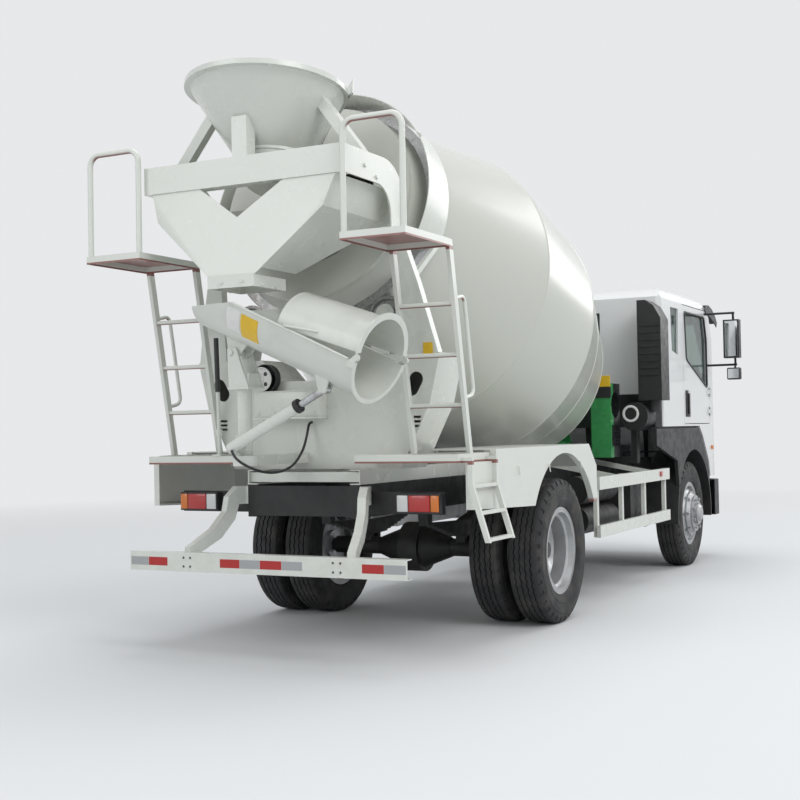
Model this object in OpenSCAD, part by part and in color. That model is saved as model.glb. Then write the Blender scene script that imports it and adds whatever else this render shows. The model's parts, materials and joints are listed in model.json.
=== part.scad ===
// Two-axle concrete mixer truck with a cab over the engine.
// Frame: +X forward, +Y left, +Z up, in millimetres, ground at Z = 0.
// Places along X are measured from the rear axle, and the last step moves the
// middle of the truck's length to the origin.

/* [Wheels] */
// Outer diameter of a tyre
tyre_d = 974; // [940:2:1000]
// Section width of a tyre
tyre_w = 235; // [215:1:245]
// Diameter over the rim flanges
rim_d = 588; // [570:2:600]
// Distance between the axles
wheelbase = 3800; // [3760:5:3840]
// Track of the steered wheels, centre to centre
track_front = 1790; // [1770:5:1830]
// Track of the rear wheels, between the middles of the twin pairs
track_rear = 1710; // [1690:5:1730]
// Distance between the two tyres of a twin pair
dual_space = 280; // [270:1:290]
// Number of wheel nuts
nut_count = 8; // [6:1:10]

/* [Chassis] */
// Height of the frame rails' lower edge above the ground
frame_z = 800; // [790:1:810]
// Height of a frame rail
frame_h = 200; // [190:1:210]
// Half the width over the frame rails
frame_half_w = 400; // [390:1:410]
// Thickness of the frame rails' steel
frame_wall = 8; // [6:1:12]
// Height of the mixer's own rails on the frame
sub_h = 90; // [80:1:100]
// Rear end of the frame
frame_rear_x = -1550; // [-1570:5:-1540]
// Front end of the frame
frame_front_x = 4600; // [4580:5:4620]

/* [Drum] */
// Largest radius of the drum
drum_r = 1040; // [1000:5:1045]
// Length of the drum's cylindrical middle
drum_mid_l = 960; // [900:10:1000]
// Slope of the drum's axis
drum_tilt = 16.3; // [15.8:0.1:16.8]
// Thickness of the drum's steel
drum_wall = 8; // [5:1:12]
// Width of the roller ring
ring_w = 80; // [60:1:90]
// Radius of the roller ring
ring_r = 745; // [735:1:755]
// Radius of a support roller
roller_r = 120; // [110:1:130]
// Angle of each support roller from the lowest point of the ring
roller_angle = 35; // [30:1:38]

/* [Hopper] */
// Radius of the charging hopper's rim
hopper_r = 471; // [460:1:480]
// Width of the rolled band round the hopper's rim
rim_h = 30; // [20:1:40]
// Thickness of hopper, collector and chute sheet
sheet_t = 6; // [4:1:8]

/* [Chute] */
// Inner radius of the half-round chute at its mouth
chute_r = 208; // [200:1:215]
// Inner radius of the main chute at its upper end
chute_top_r = 245; // [235:1:250]
// Length of the main chute
chute_l = 1230; // [1200:5:1250]
// Length of the folding chute
fold_l = 600; // [560:5:600]
// Slope of the main chute
chute_slope = 24; // [23:0.5:25]
// Angle of the parked chute from straight back, towards the right side
chute_park = 83; // [80:1:85]

/* [Cab] */
// Half the width of the cab
cab_half_w = 1050; // [1030:5:1060]
// Rear wall of the cab
cab_rear_x = 2700; // [2690:5:2720]
// Front face of the cab
cab_front_x = 4830; // [4820:5:4840]
// Height of the roof
cab_top_z = 2560; // [2540:5:2600]
// Height of the floor's underside and of the wheel arch's top
cab_floor_z = 1310; // [1305:1:1315]
// Thickness of walls, floor and doors
cab_wall = 40; // [30:1:50]
// Gap round a door
door_gap = 7; // [6:1:9]
// Thickness of the window glass
glass_t = 6; // [4:1:8]

/* [Access] */
// Height of the upper platforms' tread
platform_z = 2400; // [2380:5:2420]
// Height of the lower platforms' tread
step_z = 1180; // [1170:5:1200]
// Radius of the handrail tubes
rail_r = 17; // [14:1:20]

/* [Hidden] */
$fn = 64;

// Running gap at pins and between neighbours on different bodies
gap = 0.3;

// Ends of the whole truck, for the origin
rear_x = -2234;
front_x = 4866;
swivel_x = -2005;
tail_l = 170;
lug_r = 18;
lug_t = 8;
fold_z = 26;
ear_t = 6;
flange_out = 24;
flange_t = 10;
ear_y = chute_r + flange_out - 4;
lug_y = ear_y + 2 * gap + lug_t;
chute_run = (chute_l - tail_l) * cos(chute_slope) + fold_z * sin(chute_slope) + lug_r;
end_x = swivel_x - cos(chute_park) * chute_run - sin(chute_park) * lug_y;
mid_x = (end_x + front_x) / 2;

axle_z = tyre_d / 2;
frame_top = frame_z + frame_h;
sub_top = frame_top + sub_h;
rail_w = 70;

// Colours as the photo shows them
white = "#e8ebe8";
black = "#26282a";
dark = "#3a3d40";
steel = "#b9bcbf";
green = "#2f9a4c";

// Drum: the middle of its cylinder, and stations along the axis towards the rear
drum_x = 465;
drum_z = 2229;
ring_s = drum_mid_l / 2 + 1180;
rear_slope = 0.29;
mouth_s = ring_s + 220;
function shell_r(s) = drum_r - rear_slope * (s - drum_mid_l / 2);
front_s = -(drum_mid_l / 2 + 980);
head_s = front_s - 150;
axis_back = [-cos(drum_tilt), 0, sin(drum_tilt)];
axis_up = [sin(drum_tilt), 0, cos(drum_tilt)];
function on_axis(s, up = 0, y = 0) =
    [drum_x, 0, drum_z] + s * axis_back + up * axis_up + [0, y, 0];

// Rollers under the ring
roller_d = ring_r + roller_r + gap;
roller_y = roller_d * sin(roller_angle);
roller_u = -roller_d * cos(roller_angle);
roller_w = 90;
pin_r = 30;

module place() translate([-mid_x, 0, 0]) children();
module both_sides() {
    children();
    mirror([0, 1, 0]) children();
}
module box(a, b) translate(a) cube(b - a);
// A flat outline in X and Z, from y0 to y1
module side_plate(points, y0, y1)
    translate([0, y1, 0]) rotate([90, 0, 0]) linear_extrude(y1 - y0) polygon(points);
// A flat outline in Y and Z, from x0 to x1
module cross_plate(points, x0, x1)
    translate([x0, 0, 0]) rotate([90, 0, 90]) linear_extrude(x1 - x0) polygon(points);
// A round bar from p to q
module bar(p, q, r) {
    d = q - p;
    translate(p) rotate([0, acos(d[2] / norm(d)), atan2(d[1], d[0])]) cylinder(r = r, h = norm(d));
}
// A square tube of width w from p to q
module square_bar(p, q, w) {
    d = q - p;
    translate(p) rotate([0, acos(d[2] / norm(d)), atan2(d[1], d[0])])
        translate([-w / 2, -w / 2, 0]) cube([w, w, norm(d)]);
}
// A tube hoop in Y and Z: two legs that stand span apart, joined over two bends
module hoop(span, height, bend_r, r) rotate([90, 0, 90]) {
    for (x = [0, span]) translate([x, 0, 0]) rotate([-90, 0, 0]) cylinder(r = r, h = height - bend_r);
    translate([bend_r, height, 0]) rotate([0, 90, 0]) cylinder(r = r, h = span - 2 * bend_r);
    translate([span - bend_r, height - bend_r, 0])
        rotate_extrude(angle = 90) translate([bend_r, 0]) circle(r = r);
    translate([bend_r, height - bend_r, 0]) rotate([0, 0, 90])
        rotate_extrude(angle = 90) translate([bend_r, 0])
        circle(r = r);
}
// The outline p moved inwards by t, for a convex outline that runs anticlockwise
function unit(v) = v / norm(v);
function inward(a, b) = [-(b - a)[1], (b - a)[0]] / norm(b - a);
function inset(p, t) = [for (i = [0:len(p) - 1])
    let (n = len(p), u = inward(p[(i + n - 1) % n], p[i]), v = inward(p[i], p[(i + 1) % n]))
    p[i] + t * (u + v) / (1 + u * v)];
module on_drum() translate([drum_x, 0, drum_z]) rotate([0, drum_tilt - 90, 0]) children();

// Frame rails, their crossmembers and the carriers of the tail lamps
tilt_x = 4740;
tilt_z = 900;
lamp_x = -1500;
lamp_z = [834, 949];
lamp_y = [639, 923];
cross_xs = [-1460, -560, 560, 1400, 2300, 4480];
module rail_section(x0, x1, z0, h, wall) {
    difference() {
        box([x0, frame_half_w - rail_w, z0], [x1, frame_half_w, z0 + h]);
        box([x0 - 1, frame_half_w - rail_w - 1, z0 + wall], [x1 + 1, frame_half_w - wall, z0 + h - wall]);
    }
}
module chassis_frame() color(black) place() {
    both_sides() rail_section(frame_rear_x, frame_front_x, frame_z, frame_h, frame_wall);
    inner = frame_half_w - frame_wall;
    for (x = cross_xs)
        box([x - 35, -inner, frame_z + 40], [x + 35, inner, frame_top - 40]);
    // Tail beam and lamp carriers
    box([frame_rear_x, -inner, frame_z + frame_wall], [frame_rear_x + 12, inner, frame_top - frame_wall]);
    both_sides() box([lamp_x, frame_half_w, lamp_z[0] - 8], [lamp_x + 8, lamp_y[1] + 10, lamp_z[1] + 8]);
    // Brackets and pin of the cab's tilt hinge, and posts under the cab's rear edge
    both_sides() {
        side_plate([[4500, 820], [4600, 820], [tilt_x + 16, tilt_z - 24], [tilt_x + 16, tilt_z + 24],
            [4600, 980], [4500, 980]], frame_half_w - 78, frame_half_w - 60);
        box([2760, frame_half_w - 60, frame_top], [2840, frame_half_w, cab_floor_z - gap]);
    }
    translate([tilt_x, frame_half_w - 60, tilt_z]) rotate([90, 0, 0])
        cylinder(r = 16, h = 2 * (frame_half_w - 60));
}

// Mixer rails on the frame
module subframe() color(white) place() {
    both_sides() rail_section(frame_rear_x, 2340, frame_top, sub_h, 6);
    inner = frame_half_w - 6;
    for (x = [-1500, -400, 1000, 2280])
        box([x - 25, -inner, frame_top + 15], [x + 25, inner, sub_top - 15]);
}

// Box of plates behind the drum, on which the rollers and the hopper frame stand
ped_rear_x = -1400;
ped_front_x = -1060;
ped_top_z = 1780;
ped_wall = 10;
ped_outline = [[-600, sub_top], [600, sub_top], [800, 1485], [870, ped_top_z], [380, ped_top_z],
    [250, 1640], [-250, 1640], [-380, ped_top_z], [-870, ped_top_z], [-800, 1485]];
ped_core = [[-585, sub_top + ped_wall], [585, sub_top + ped_wall], [790, 1487], [857, ped_top_z - ped_wall],
    [386, ped_top_z - ped_wall], [254, 1630], [-254, 1630], [-386, ped_top_z - ped_wall],
    [-857, ped_top_z - ped_wall], [-790, 1487]];
swivel_y = 105;
swivel_r = 42;
swivel_pin_r = 34;
swivel_pin_h = 120;
swivel_base_z = 1190;
hole_y = 695;
hole_z = 1598;
hole_l = 60;
hole_r = 46;
vent_zs = [1338, 1365, 1392];
module rear_pedestal() color(white) place() {
    difference() {
        cross_plate(ped_outline, ped_rear_x, ped_front_x);
        cross_plate(ped_core, ped_rear_x + ped_wall, ped_front_x - ped_wall);
        // Slanted hand holes and slatted vents in the rear plate
        for (side = [-1, 1]) {
            translate([ped_rear_x - 1, side * hole_y, hole_z]) rotate([0, 90, 0]) rotate([0, 0, -side * 30])
                linear_extrude(ped_wall + 2) union() {
                    for (x = [-1, 1]) translate([x * hole_l / 2, 0]) circle(r = hole_r);
                    square([hole_l, 2 * hole_r], center = true);
                }
            for (z = vent_zs) box([ped_rear_x - 1, side * hole_y - 42, z],
                [ped_rear_x + ped_wall + 1, side * hole_y + 42, z + 14]);
        }
    }
    // Cheeks and pins of the rollers
    intersection() {
        on_drum() both_sides() for (s = [-1, 1])
            translate([roller_u, roller_y, ring_s + s * (roller_w / 2 + 12)])
            linear_extrude(14, center = true) union() {
                circle(r = 60);
                translate([-400, -60]) square([400, 120]);
            }
        box([-2000, -1000, ped_top_z - 1], [0, 1000, 3000]);
    }
    on_drum() both_sides() translate([roller_u, roller_y, ring_s])
        cylinder(r = pin_r, h = roller_w + 60, center = true);
    // Arm and socket of the chute's swivel column, and the pin that stands on it
    box([swivel_x, swivel_y - 60, swivel_base_z - 60], [ped_rear_x, swivel_y + 60, swivel_base_z]);
    translate([swivel_x, swivel_y, swivel_base_z - 60]) cylinder(r = 75, h = 60);
    translate([swivel_x, swivel_y, swivel_base_z + gap]) cylinder(r = swivel_pin_r, h = swivel_pin_h);
}

// Plates under the gearbox in front of the drum
flange_s = head_s - 40;
gear_s = flange_s - 320;
motor_s = gear_s - 190;
fp_x = [2080, 2320];
fp_top = 1520;
module front_pedestal() color(green) place() {
    difference() {
        union() {
            for (x = fp_x)
                cross_plate([[-390, sub_top], [390, sub_top], [230, fp_top], [-230, fp_top]], x - 8, x + 8);
            both_sides() box([fp_x[0], 330, sub_top], [fp_x[1], 346, 1200]);
        }
        on_drum() translate([0, 0, motor_s - 200]) cylinder(r = 215, h = -motor_s + head_s + 300);
        translate([fp_x[0] - 20, 0, 1250]) rotate([0, 90, 0]) cylinder(r = 70, h = 400);
    }
}

// Oil cooler with its fan shroud beside the gearbox
module oil_cooler() color(green) place() {
    difference() {
        box([2070, -790, sub_top - 30], [2330, -620, 1680]);
        translate([2200, -700, 1500]) rotate([90, 0, 0]) cylinder(r = 110, h = 200);
        box([2095, -800, 1150], [2305, -760, 1330]);
    }
    for (z = [1150:30:1330]) box([2090, -775, z], [2310, -765, z + 8]);
    box([2100, -620, sub_top], [2300, -390, sub_top + 14]);
}

// Reduction gearbox and the hydraulic motor on it
module reducer() color(green) place() on_drum() {
    translate([0, 0, gear_s]) rotate_extrude() polygon([[0, 0], [175, 0], [175, 60], [213, 80], [213, 200],
        [190, 220], [190, 319], [0, 319]]);
    translate([0, 0, motor_s]) cylinder(r = 95, h = 190);
    translate([-60, -60, motor_s + 20]) cube([120, 120, 100]);
}

// Drum shell: radius and station of each seam, from the front head to the mouth
module drum_profile(t) {
    // [radius, station]
    seams = [[550, head_s], [796, front_s], [925, front_s + 519], [drum_r, -drum_mid_l / 2],
        [drum_r, drum_mid_l / 2], [shell_r(mouth_s), mouth_s]];
    inner = [for (p = seams) [p[0] - t, p[1]]];
    polygon(concat([[0, head_s]], seams, [for (i = [5:-1:1]) inner[i]],
        [[inner[0][0], head_s + t], [0, head_s + t]]));
}
module drum() color(white) place() on_drum() {
    rotate_extrude($fn = 96) drum_profile(drum_wall);
    // Flange towards the gearbox
    translate([0, 0, flange_s]) cylinder(r = 260, h = 40);
    // Collar round the mouth
    mouth_r = shell_r(mouth_s);
    rotate_extrude($fn = 96) polygon([[mouth_r, mouth_s - 30], [mouth_r + 18, mouth_s - 30],
        [mouth_r + 18, mouth_s], [mouth_r - 2, mouth_s]]);
}
module drum_ring() color(steel) place() on_drum()
    rotate_extrude($fn = 96) polygon([[shell_r(ring_s - ring_w / 2), ring_s - ring_w / 2],
        [ring_r, ring_s - ring_w / 2], [ring_r, ring_s + ring_w / 2],
        [shell_r(ring_s + ring_w / 2), ring_s + ring_w / 2]]);

module roller() on_drum() translate([roller_u, roller_y, ring_s]) difference() {
    rotate_extrude() polygon([[pin_r + gap, -roller_w / 2], [50, -roller_w / 2], [55, -roller_w / 2 + 15],
        [roller_r - 25, -roller_w / 2 + 15], [roller_r - 20, -roller_w / 2], [roller_r, -roller_w / 2],
        [roller_r, roller_w / 2], [roller_r - 20, roller_w / 2], [roller_r - 25, roller_w / 2 - 15],
        [55, roller_w / 2 - 15], [50, roller_w / 2], [pin_r + gap, roller_w / 2]]);
}
module roller_left() color(steel) place() roller();
module roller_right() color(steel) place() mirror([0, 1, 0]) roller();

// Charging hopper: a slanting cone over the drum's mouth, and its spout into the drum
hop_throat = [-1815, 0, 2950];
hop_rim = [-1879, 0, 3346];
rim_lean = 7;
rim_out = 12;
throat_r = 235;
spout_r = 195;
collar_out = 4;
spout_run = [500, 0, -233];
module at_throat() translate(hop_throat) rotate([0, rim_lean, 0]) children();
module at_rim() translate(hop_rim) rotate([0, rim_lean, 0]) children();
// The cone between the throat and the rim, made thinner by t and longer by e at both ends
module hopper_cone(t, e) hull($fn = 72) {
    at_throat() translate([0, 0, -e]) cylinder(r = throat_r - t, h = 1);
    at_rim() translate([0, 0, e - 1]) cylinder(r = hopper_r - t, h = 1);
}
module spout(r) bar(hop_throat, hop_throat + spout_run, r);
module charging_hopper() color(white) place() {
    difference() {
        union() {
            hopper_cone(0, 0);
            at_rim() translate([0, 0, -rim_h]) cylinder(r = hopper_r + rim_out, h = rim_h, $fn = 96);
        }
        hopper_cone(sheet_t, 2);
    }
    // Elbow and spout below the throat
    difference() {
        union() {
            spout(spout_r);
            translate(hop_throat) sphere(r = throat_r - 1);
            at_throat() translate([0, 0, -14]) cylinder(r = throat_r + collar_out, h = 18);
        }
        spout(spout_r - sheet_t);
        translate(hop_throat) sphere(r = throat_r - 1 - sheet_t);
        at_throat() translate([0, 0, -40]) cylinder(r = throat_r - sheet_t - collar_out, h = 80);
        at_throat() translate([0, 0, 4]) cylinder(r = 400, h = 500);
    }
    // Guard plate on the rim, towards the drum
    at_rim() rotate([0, 0, -48]) translate([hopper_r + 4, -190, -24]) cube([8, 380, 88]);
}

// Frame that carries the hopper: rear beam, side plates, legs and struts
beam_x = -2180;
beam_z = [2739, 2899];
beam_half_w = 678;
leg_x = -1500;
leg_outline = [[ped_rear_x, ped_top_z], [ped_rear_x + 60, ped_top_z], [leg_x + 60, 2480], [leg_x, 2480]];
side_outline = concat([[beam_x, beam_z[0]], [-1780, beam_z[0]]],
    [for (a = [90:-15:0]) [-1780 + 160 * cos(a), beam_z[0] - 160 + 160 * sin(a)]],
    [[-1620, 2480], [leg_x + 60, 2480]],
    [for (a = [0:15:90]) [-1700 + 260 * cos(a), beam_z[1] - 260 + 260 * sin(a)]],
    [[beam_x, beam_z[1]]]);
module hopper_frame() color(white) place() {
    difference() {
        union() {
            // Rear beam
            difference() {
                box([beam_x, -beam_half_w, beam_z[0]], [beam_x + 90, beam_half_w, beam_z[1]]);
                box([beam_x + 8, -beam_half_w + 10, beam_z[0] + 8],
                    [beam_x + 91, beam_half_w - 10, beam_z[1] - 8]);
            }
            both_sides() {
                side_plate(side_outline, beam_half_w - 10, beam_half_w);
                // Legs down to the pedestal, which lean back as they rise
                intersection() {
                    side_plate(leg_outline, 500, 1000);
                    cross_plate([[650, ped_top_z], [860, ped_top_z], [760, 2200], [beam_half_w, 2480],
                        [beam_half_w - 50, 2480], [640, 2200]], leg_x - 10, ped_rear_x + 70);
                }
                // Struts up to the hopper
                square_bar([-1900, beam_half_w - 36, beam_z[1] - 12], [-1885, 330, 3290], 62);
            }
            box([beam_x, -50, beam_z[1] - 4], [beam_x + 90, 50, 3130]);
        }
        hopper_cone(0, 0);
        on_drum() cylinder(r1 = drum_r, r2 = shell_r(mouth_s) + 40, h = mouth_s + 12);
    }
}

// Sheet guard over the top and sides of the ring, on stays to the hopper frame's legs
guard_r = ring_r + 23;
guard_t = 6;
guard_s = [ring_s - 93, ring_s + 190];
guard_low = 250;
module ring_guard() color(white) place() {
    guard_l = guard_s[1] - guard_s[0];
    stay_y = sqrt(pow(guard_r + guard_t / 2, 2) - pow(guard_low - 20, 2));
    on_drum() difference() {
        translate([0, 0, guard_s[0]]) cylinder(r = guard_r + guard_t, h = guard_l, $fn = 96);
        translate([0, 0, guard_s[0] - 1]) cylinder(r = guard_r, h = guard_l + 2, $fn = 96);
        translate([-2000, -1000, guard_s[0] - 2]) cube([2000 - guard_low, 2000, guard_l + 4]);
    }
    both_sides() difference() {
        square_bar(on_axis(guard_s[0] + 30, 20 - guard_low, stay_y), [-1430, 705, 2215], 30);
        on_drum() cylinder(r = guard_r, h = 3000);
        side_plate(leg_outline, 500, 1000);
    }
}

// Collector: a sheet funnel behind the mouth
out_y = 150;
out_x = [-2280, -1960];
out_z = 2200;
collar_h = 62;
collar_t = 6;
coll_front_x = -1440;
coll_half_w = [625, 560];
coll_knee_z = 2560;
// The funnel made smaller by t, and taller by e at both ends
module collector_form(t, e) hull() {
    box([-2172 + t, -coll_half_w[0] + t, beam_z[0] - 1],
        [coll_front_x - t, coll_half_w[0] - t, beam_z[0] + e]);
    box([-2206 + t, -coll_half_w[1] + t, coll_knee_z],
        [coll_front_x - t, coll_half_w[1] - t, coll_knee_z + 1]);
    box([out_x[0] + t, -out_y + t, out_z - e], [out_x[1] - t, out_y - t, out_z + 1]);
}
module discharge_collector() color(white) place() difference() {
    union() {
        collector_form(0, 0);
        // Bolted collar round the outlet
        box([out_x[0] - collar_t, -out_y - collar_t, out_z - collar_h],
            [out_x[1] + collar_t, out_y + collar_t, out_z + 12]);
    }
    collector_form(sheet_t, sheet_t);
    box([out_x[0] + sheet_t, -out_y + sheet_t, out_z - collar_h - 1],
        [out_x[1] - sheet_t, out_y - sheet_t, out_z + 1]);
    // Notch in the rear sheet and room for the drum's mouth
    cross_plate([[-300, beam_z[0] + 10], [0, 2545], [300, beam_z[0] + 10]], -2300, -2130);
    on_drum() cylinder(r1 = drum_r, r2 = shell_r(mouth_s) + 40, h = mouth_s + 12);
    on_drum() translate([0, 0, mouth_s]) cylinder(r = shell_r(mouth_s) - 40, h = 60);
    spout(spout_r + gap);
    translate(hop_throat) sphere(r = throat_r);
}

// Swivel column of the chute: turns on the pedestal's socket
lift_x = -40;
lift_z = 1790;
pivot_r = 18;
fork_y = 56;
plate_t = 14;
flange_z = 1575;
column_z = [swivel_base_z + gap, flange_z + 2];
barrel_eye = [20, -95, 1255];
rod_eye = [664, -95, 1554];
barrel_r = 34;
stub_r = 14;
eye_pin_r = 9;
bush_play = 5;
module in_swivel() translate([swivel_x, swivel_y, 0]) rotate([0, 0, 180 + chute_park]) children();
module chute_swivel() color(white) place() in_swivel() {
    difference() {
        union() {
            translate([0, 0, column_z[0]]) cylinder(r = swivel_r, h = column_z[1] - column_z[0]);
            // Bracket that the lift cylinder's stub turns in
            side_plate([[-26, 1205], [barrel_eye[0] + 34, 1215], [barrel_eye[0] + 34, 1295], [-26, 1310]],
                -58, -20);
        }
        translate([0, 0, swivel_base_z - 1]) cylinder(r = swivel_pin_r + gap, h = swivel_pin_h + 3);
        translate([barrel_eye[0], -43, barrel_eye[2]]) rotate([90, 0, 0])
            cylinder(r = stub_r + gap, h = 20);
    }
    // Flange and fork of the chute's hinge
    box([-66, -fork_y - plate_t - 4, flange_z], [90, fork_y + plate_t + 4, flange_z + plate_t]);
    for (y = [-fork_y - plate_t, fork_y]) side_plate([[-60, flange_z + plate_t], [86, flange_z + plate_t],
        [lift_x + 34, lift_z + 26], [lift_x - 30, lift_z + 26]], y, y + plate_t);
    pin_half_l = fork_y + plate_t + 12;
    translate([lift_x, pin_half_l, lift_z]) rotate([90, 0, 0]) cylinder(r = pivot_r, h = 2 * pin_half_l);
    box([70, -fork_y, flange_z + plate_t], [80, fork_y, flange_z + 90]);
}

// Chute: a half-round trough that narrows to its mouth, and rises and falls on the swivel's pin
trough_z = 2112;
cut_z = 2060;
edge_r = 7;
edge_back = 60;
module trough(l, r1, r2, t) rotate([0, 90, 0]) difference() {
    cylinder(r1 = r1 + t, r2 = r2 + t, h = l, $fn = 72);
    translate([0, 0, -1]) cylinder(r1 = r1, r2 = r2, h = l + 2, $fn = 72);
    translate([-(r1 + t + 60), -(r1 + t + 60), -1]) cube([r1 + t + 60, 2 * (r1 + t + 60), l + 2]);
}
module in_trough() translate([0, 0, trough_z]) rotate([0, chute_slope, 0])
    translate([-tail_l, 0, 0]) children();
module main_chute() color(white) place() in_swivel() {
    difference() {
        in_trough() {
            trough(chute_l, chute_top_r, chute_r, sheet_t);
            // Rolled edges, and the flange round the mouth
            edge_k = (chute_l - edge_back) / chute_l;
            edge_y = chute_top_r + (chute_r - chute_top_r) * edge_k + edge_r + 2;
            both_sides() bar([0, chute_top_r + edge_r + 2, 0], [chute_l - edge_back, edge_y, 0], edge_r);
            translate([chute_l - flange_t, 0, 0]) trough(flange_t, chute_r, chute_r, flange_out);
        }
        box([-500, -500, cut_z], [500, 500, 3000]);
    }
    in_trough() both_sides() {
        // Lugs and pins of the folding chute's hinge
        side_plate([[chute_l - 46, -34], [chute_l, -34], [chute_l, 12], [chute_l - 17, 32],
            [chute_l - 46, -8]],
            lug_y - lug_t, lug_y);
        translate([chute_l, lug_y, fold_z]) rotate([90, 0, 0]) cylinder(r = lug_r, h = lug_t);
        translate([chute_l, lug_y, fold_z]) rotate([90, 0, 0]) cylinder(r = 8, h = lug_t + gap + ear_t);
    }
    // Ears of the hinge on the column, and of the lift cylinder
    difference() {
        union() {
            for (y = [-50, 38]) difference() {
                side_plate([[lift_x - 32, lift_z - 26], [lift_x + 32, lift_z - 26], [lift_x + 150, 1870],
                    [lift_x - 60, 1940]], y, y + 12);
                translate([lift_x, 100, lift_z]) rotate([90, 0, 0]) cylinder(r = pivot_r + gap, h = 200);
            }
            for (y = [rod_eye[1] - 32, rod_eye[1] + 22]) side_plate([[rod_eye[0] - 24, rod_eye[2] - 20],
                [rod_eye[0] + 24, rod_eye[2] - 20], [rod_eye[0] + 60, 1640], [rod_eye[0] - 60, 1700]],
                    y, y + 10);
        }
        in_trough() rotate([0, 90, 0]) translate([0, 0, -20])
            cylinder(r1 = chute_top_r + 2, r2 = chute_r + 1, h = chute_l + 20);
    }
    translate([rod_eye[0], rod_eye[1] + 32, rod_eye[2]]) rotate([90, 0, 0]) cylinder(r = eye_pin_r, h = 64);
}
// Folding chute, laid back over the main one and a little past level with it
ext_r = chute_r - 12;
fold_over = 186;
fold_gap = 5;
module chute_extension() color(white) place() in_swivel() in_trough()
    translate([chute_l, 0, fold_z]) rotate([0, -fold_over, 0]) translate([0, 0, -fold_z]) {
        translate([fold_gap, 0, 0]) trough(fold_l - fold_gap, ext_r, ext_r, sheet_t);
        translate([fold_gap, 0, 0]) trough(flange_t, ext_r, ext_r, chute_r + flange_out - ext_r);
        both_sides() difference() {
            union() {
                translate([0, ear_y, fold_z]) rotate([90, 0, 0]) cylinder(r = lug_r, h = ear_t);
                side_plate([[fold_gap, -34], [fold_gap + flange_t, -34], [lug_r - 1, fold_z],
                    [-lug_r / 2, fold_z],
                    [fold_gap, 4]], ear_y - ear_t, ear_y);
            }
            translate([0, lug_y + 10, fold_z]) rotate([90, 0, 0]) cylinder(r = 8 + gap, h = 60);
        }
    }

// Lift cylinder of the chute, beside the column
lift_len = norm(rod_eye - barrel_eye);
lift_angle = atan2((rod_eye - barrel_eye)[2], (rod_eye - barrel_eye)[0]);
barrel_l = 512;
module in_lift() in_swivel() translate(barrel_eye) rotate([0, 90 - lift_angle, 0]) children();
module lift_barrel() color(white) place() in_lift() difference() {
    union() {
        translate([0, 0, -56]) cylinder(r = barrel_r, h = barrel_l + 40);
        translate([0, 0, barrel_l - 24]) cylinder(r = barrel_r + 5, h = 24);
        rotate([-90, 0, 0]) cylinder(r = stub_r, h = -barrel_eye[1] - 43.4);
    }
    translate([0, 0, 60]) cylinder(r = 20 + gap, h = barrel_l);
}
module lift_rod() color(steel) place() in_lift() {
    difference() {
        union() {
            translate([0, 0, 190]) cylinder(r = 20, h = lift_len - 200);
            translate([0, 0, lift_len]) rotate([90, 0, 0]) cylinder(r = 26, h = 40, center = true);
        }
        // The eye's bush leaves play round the pin
        translate([0, 0, lift_len]) rotate([90, 0, 0])
            cylinder(r = eye_pin_r + bush_play, h = 50, center = true);
    }
}

// Upper platform with its hoop rail, and the ladder down to the lower platform
plat_x = [rear_x, -1674];
plat_y = [676, 1079];
plat_t = 46;
hoop_top = platform_z + 610;
hoop_bend = 70;
grab_z = [1500, 2080];
lad_top = [-1674, platform_z - plat_t];
lad_foot = [-1440, step_z];
lad_y = [700, 1060];
lad_lean = atan2(lad_top[0] - lad_foot[0], lad_top[1] - lad_foot[1]);
function lad_x(z) = lad_foot[0] + (lad_top[0] - lad_foot[0]) * (z - lad_foot[1])
    / (lad_top[1] - lad_foot[1]);
module access() {
    hoop_x = plat_x[0] + 20;
    posts = [plat_y[0] + 19, plat_y[1] - 20];
    difference() {
        box([plat_x[0], plat_y[0] + 3, platform_z - plat_t], [plat_x[1], plat_y[1], platform_z]);
        box([plat_x[0] + 5, plat_y[0] + 8, platform_z - plat_t - 1],
            [plat_x[1] - 5, plat_y[1] - 5, platform_z - 5]);
    }
    translate([hoop_x, posts[0], platform_z - 5])
        hoop(posts[1] - posts[0], hoop_top - platform_z + 5, hoop_bend, rail_r);
    // Ladder
    for (y = lad_y) side_plate([[lad_foot[0], lad_foot[1]], [lad_foot[0] + 40, lad_foot[1]],
        [lad_top[0] + 40, lad_top[1] + plat_t], [lad_top[0] + 0.2, lad_top[1] + plat_t],
        [lad_top[0] + 0.2, lad_top[1]]], y - 12, y + 12);
    for (z = [step_z + 280:290:platform_z - 250])
        bar([lad_x(z) + 20, lad_y[0], z], [lad_x(z) + 20, lad_y[1], z], 14);
    // Handrail in front of the outer rail
    translate([lad_x(grab_z[0]) + 30, lad_y[1], grab_z[0]]) rotate([0, lad_lean, 0]) rotate([90, 0, 90])
        hoop(grab_z[1] - grab_z[0], 130, 45, 12);
}
module access_left() color(white) place() access();
module access_right() color(white) place() mirror([0, 1, 0]) access();

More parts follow.
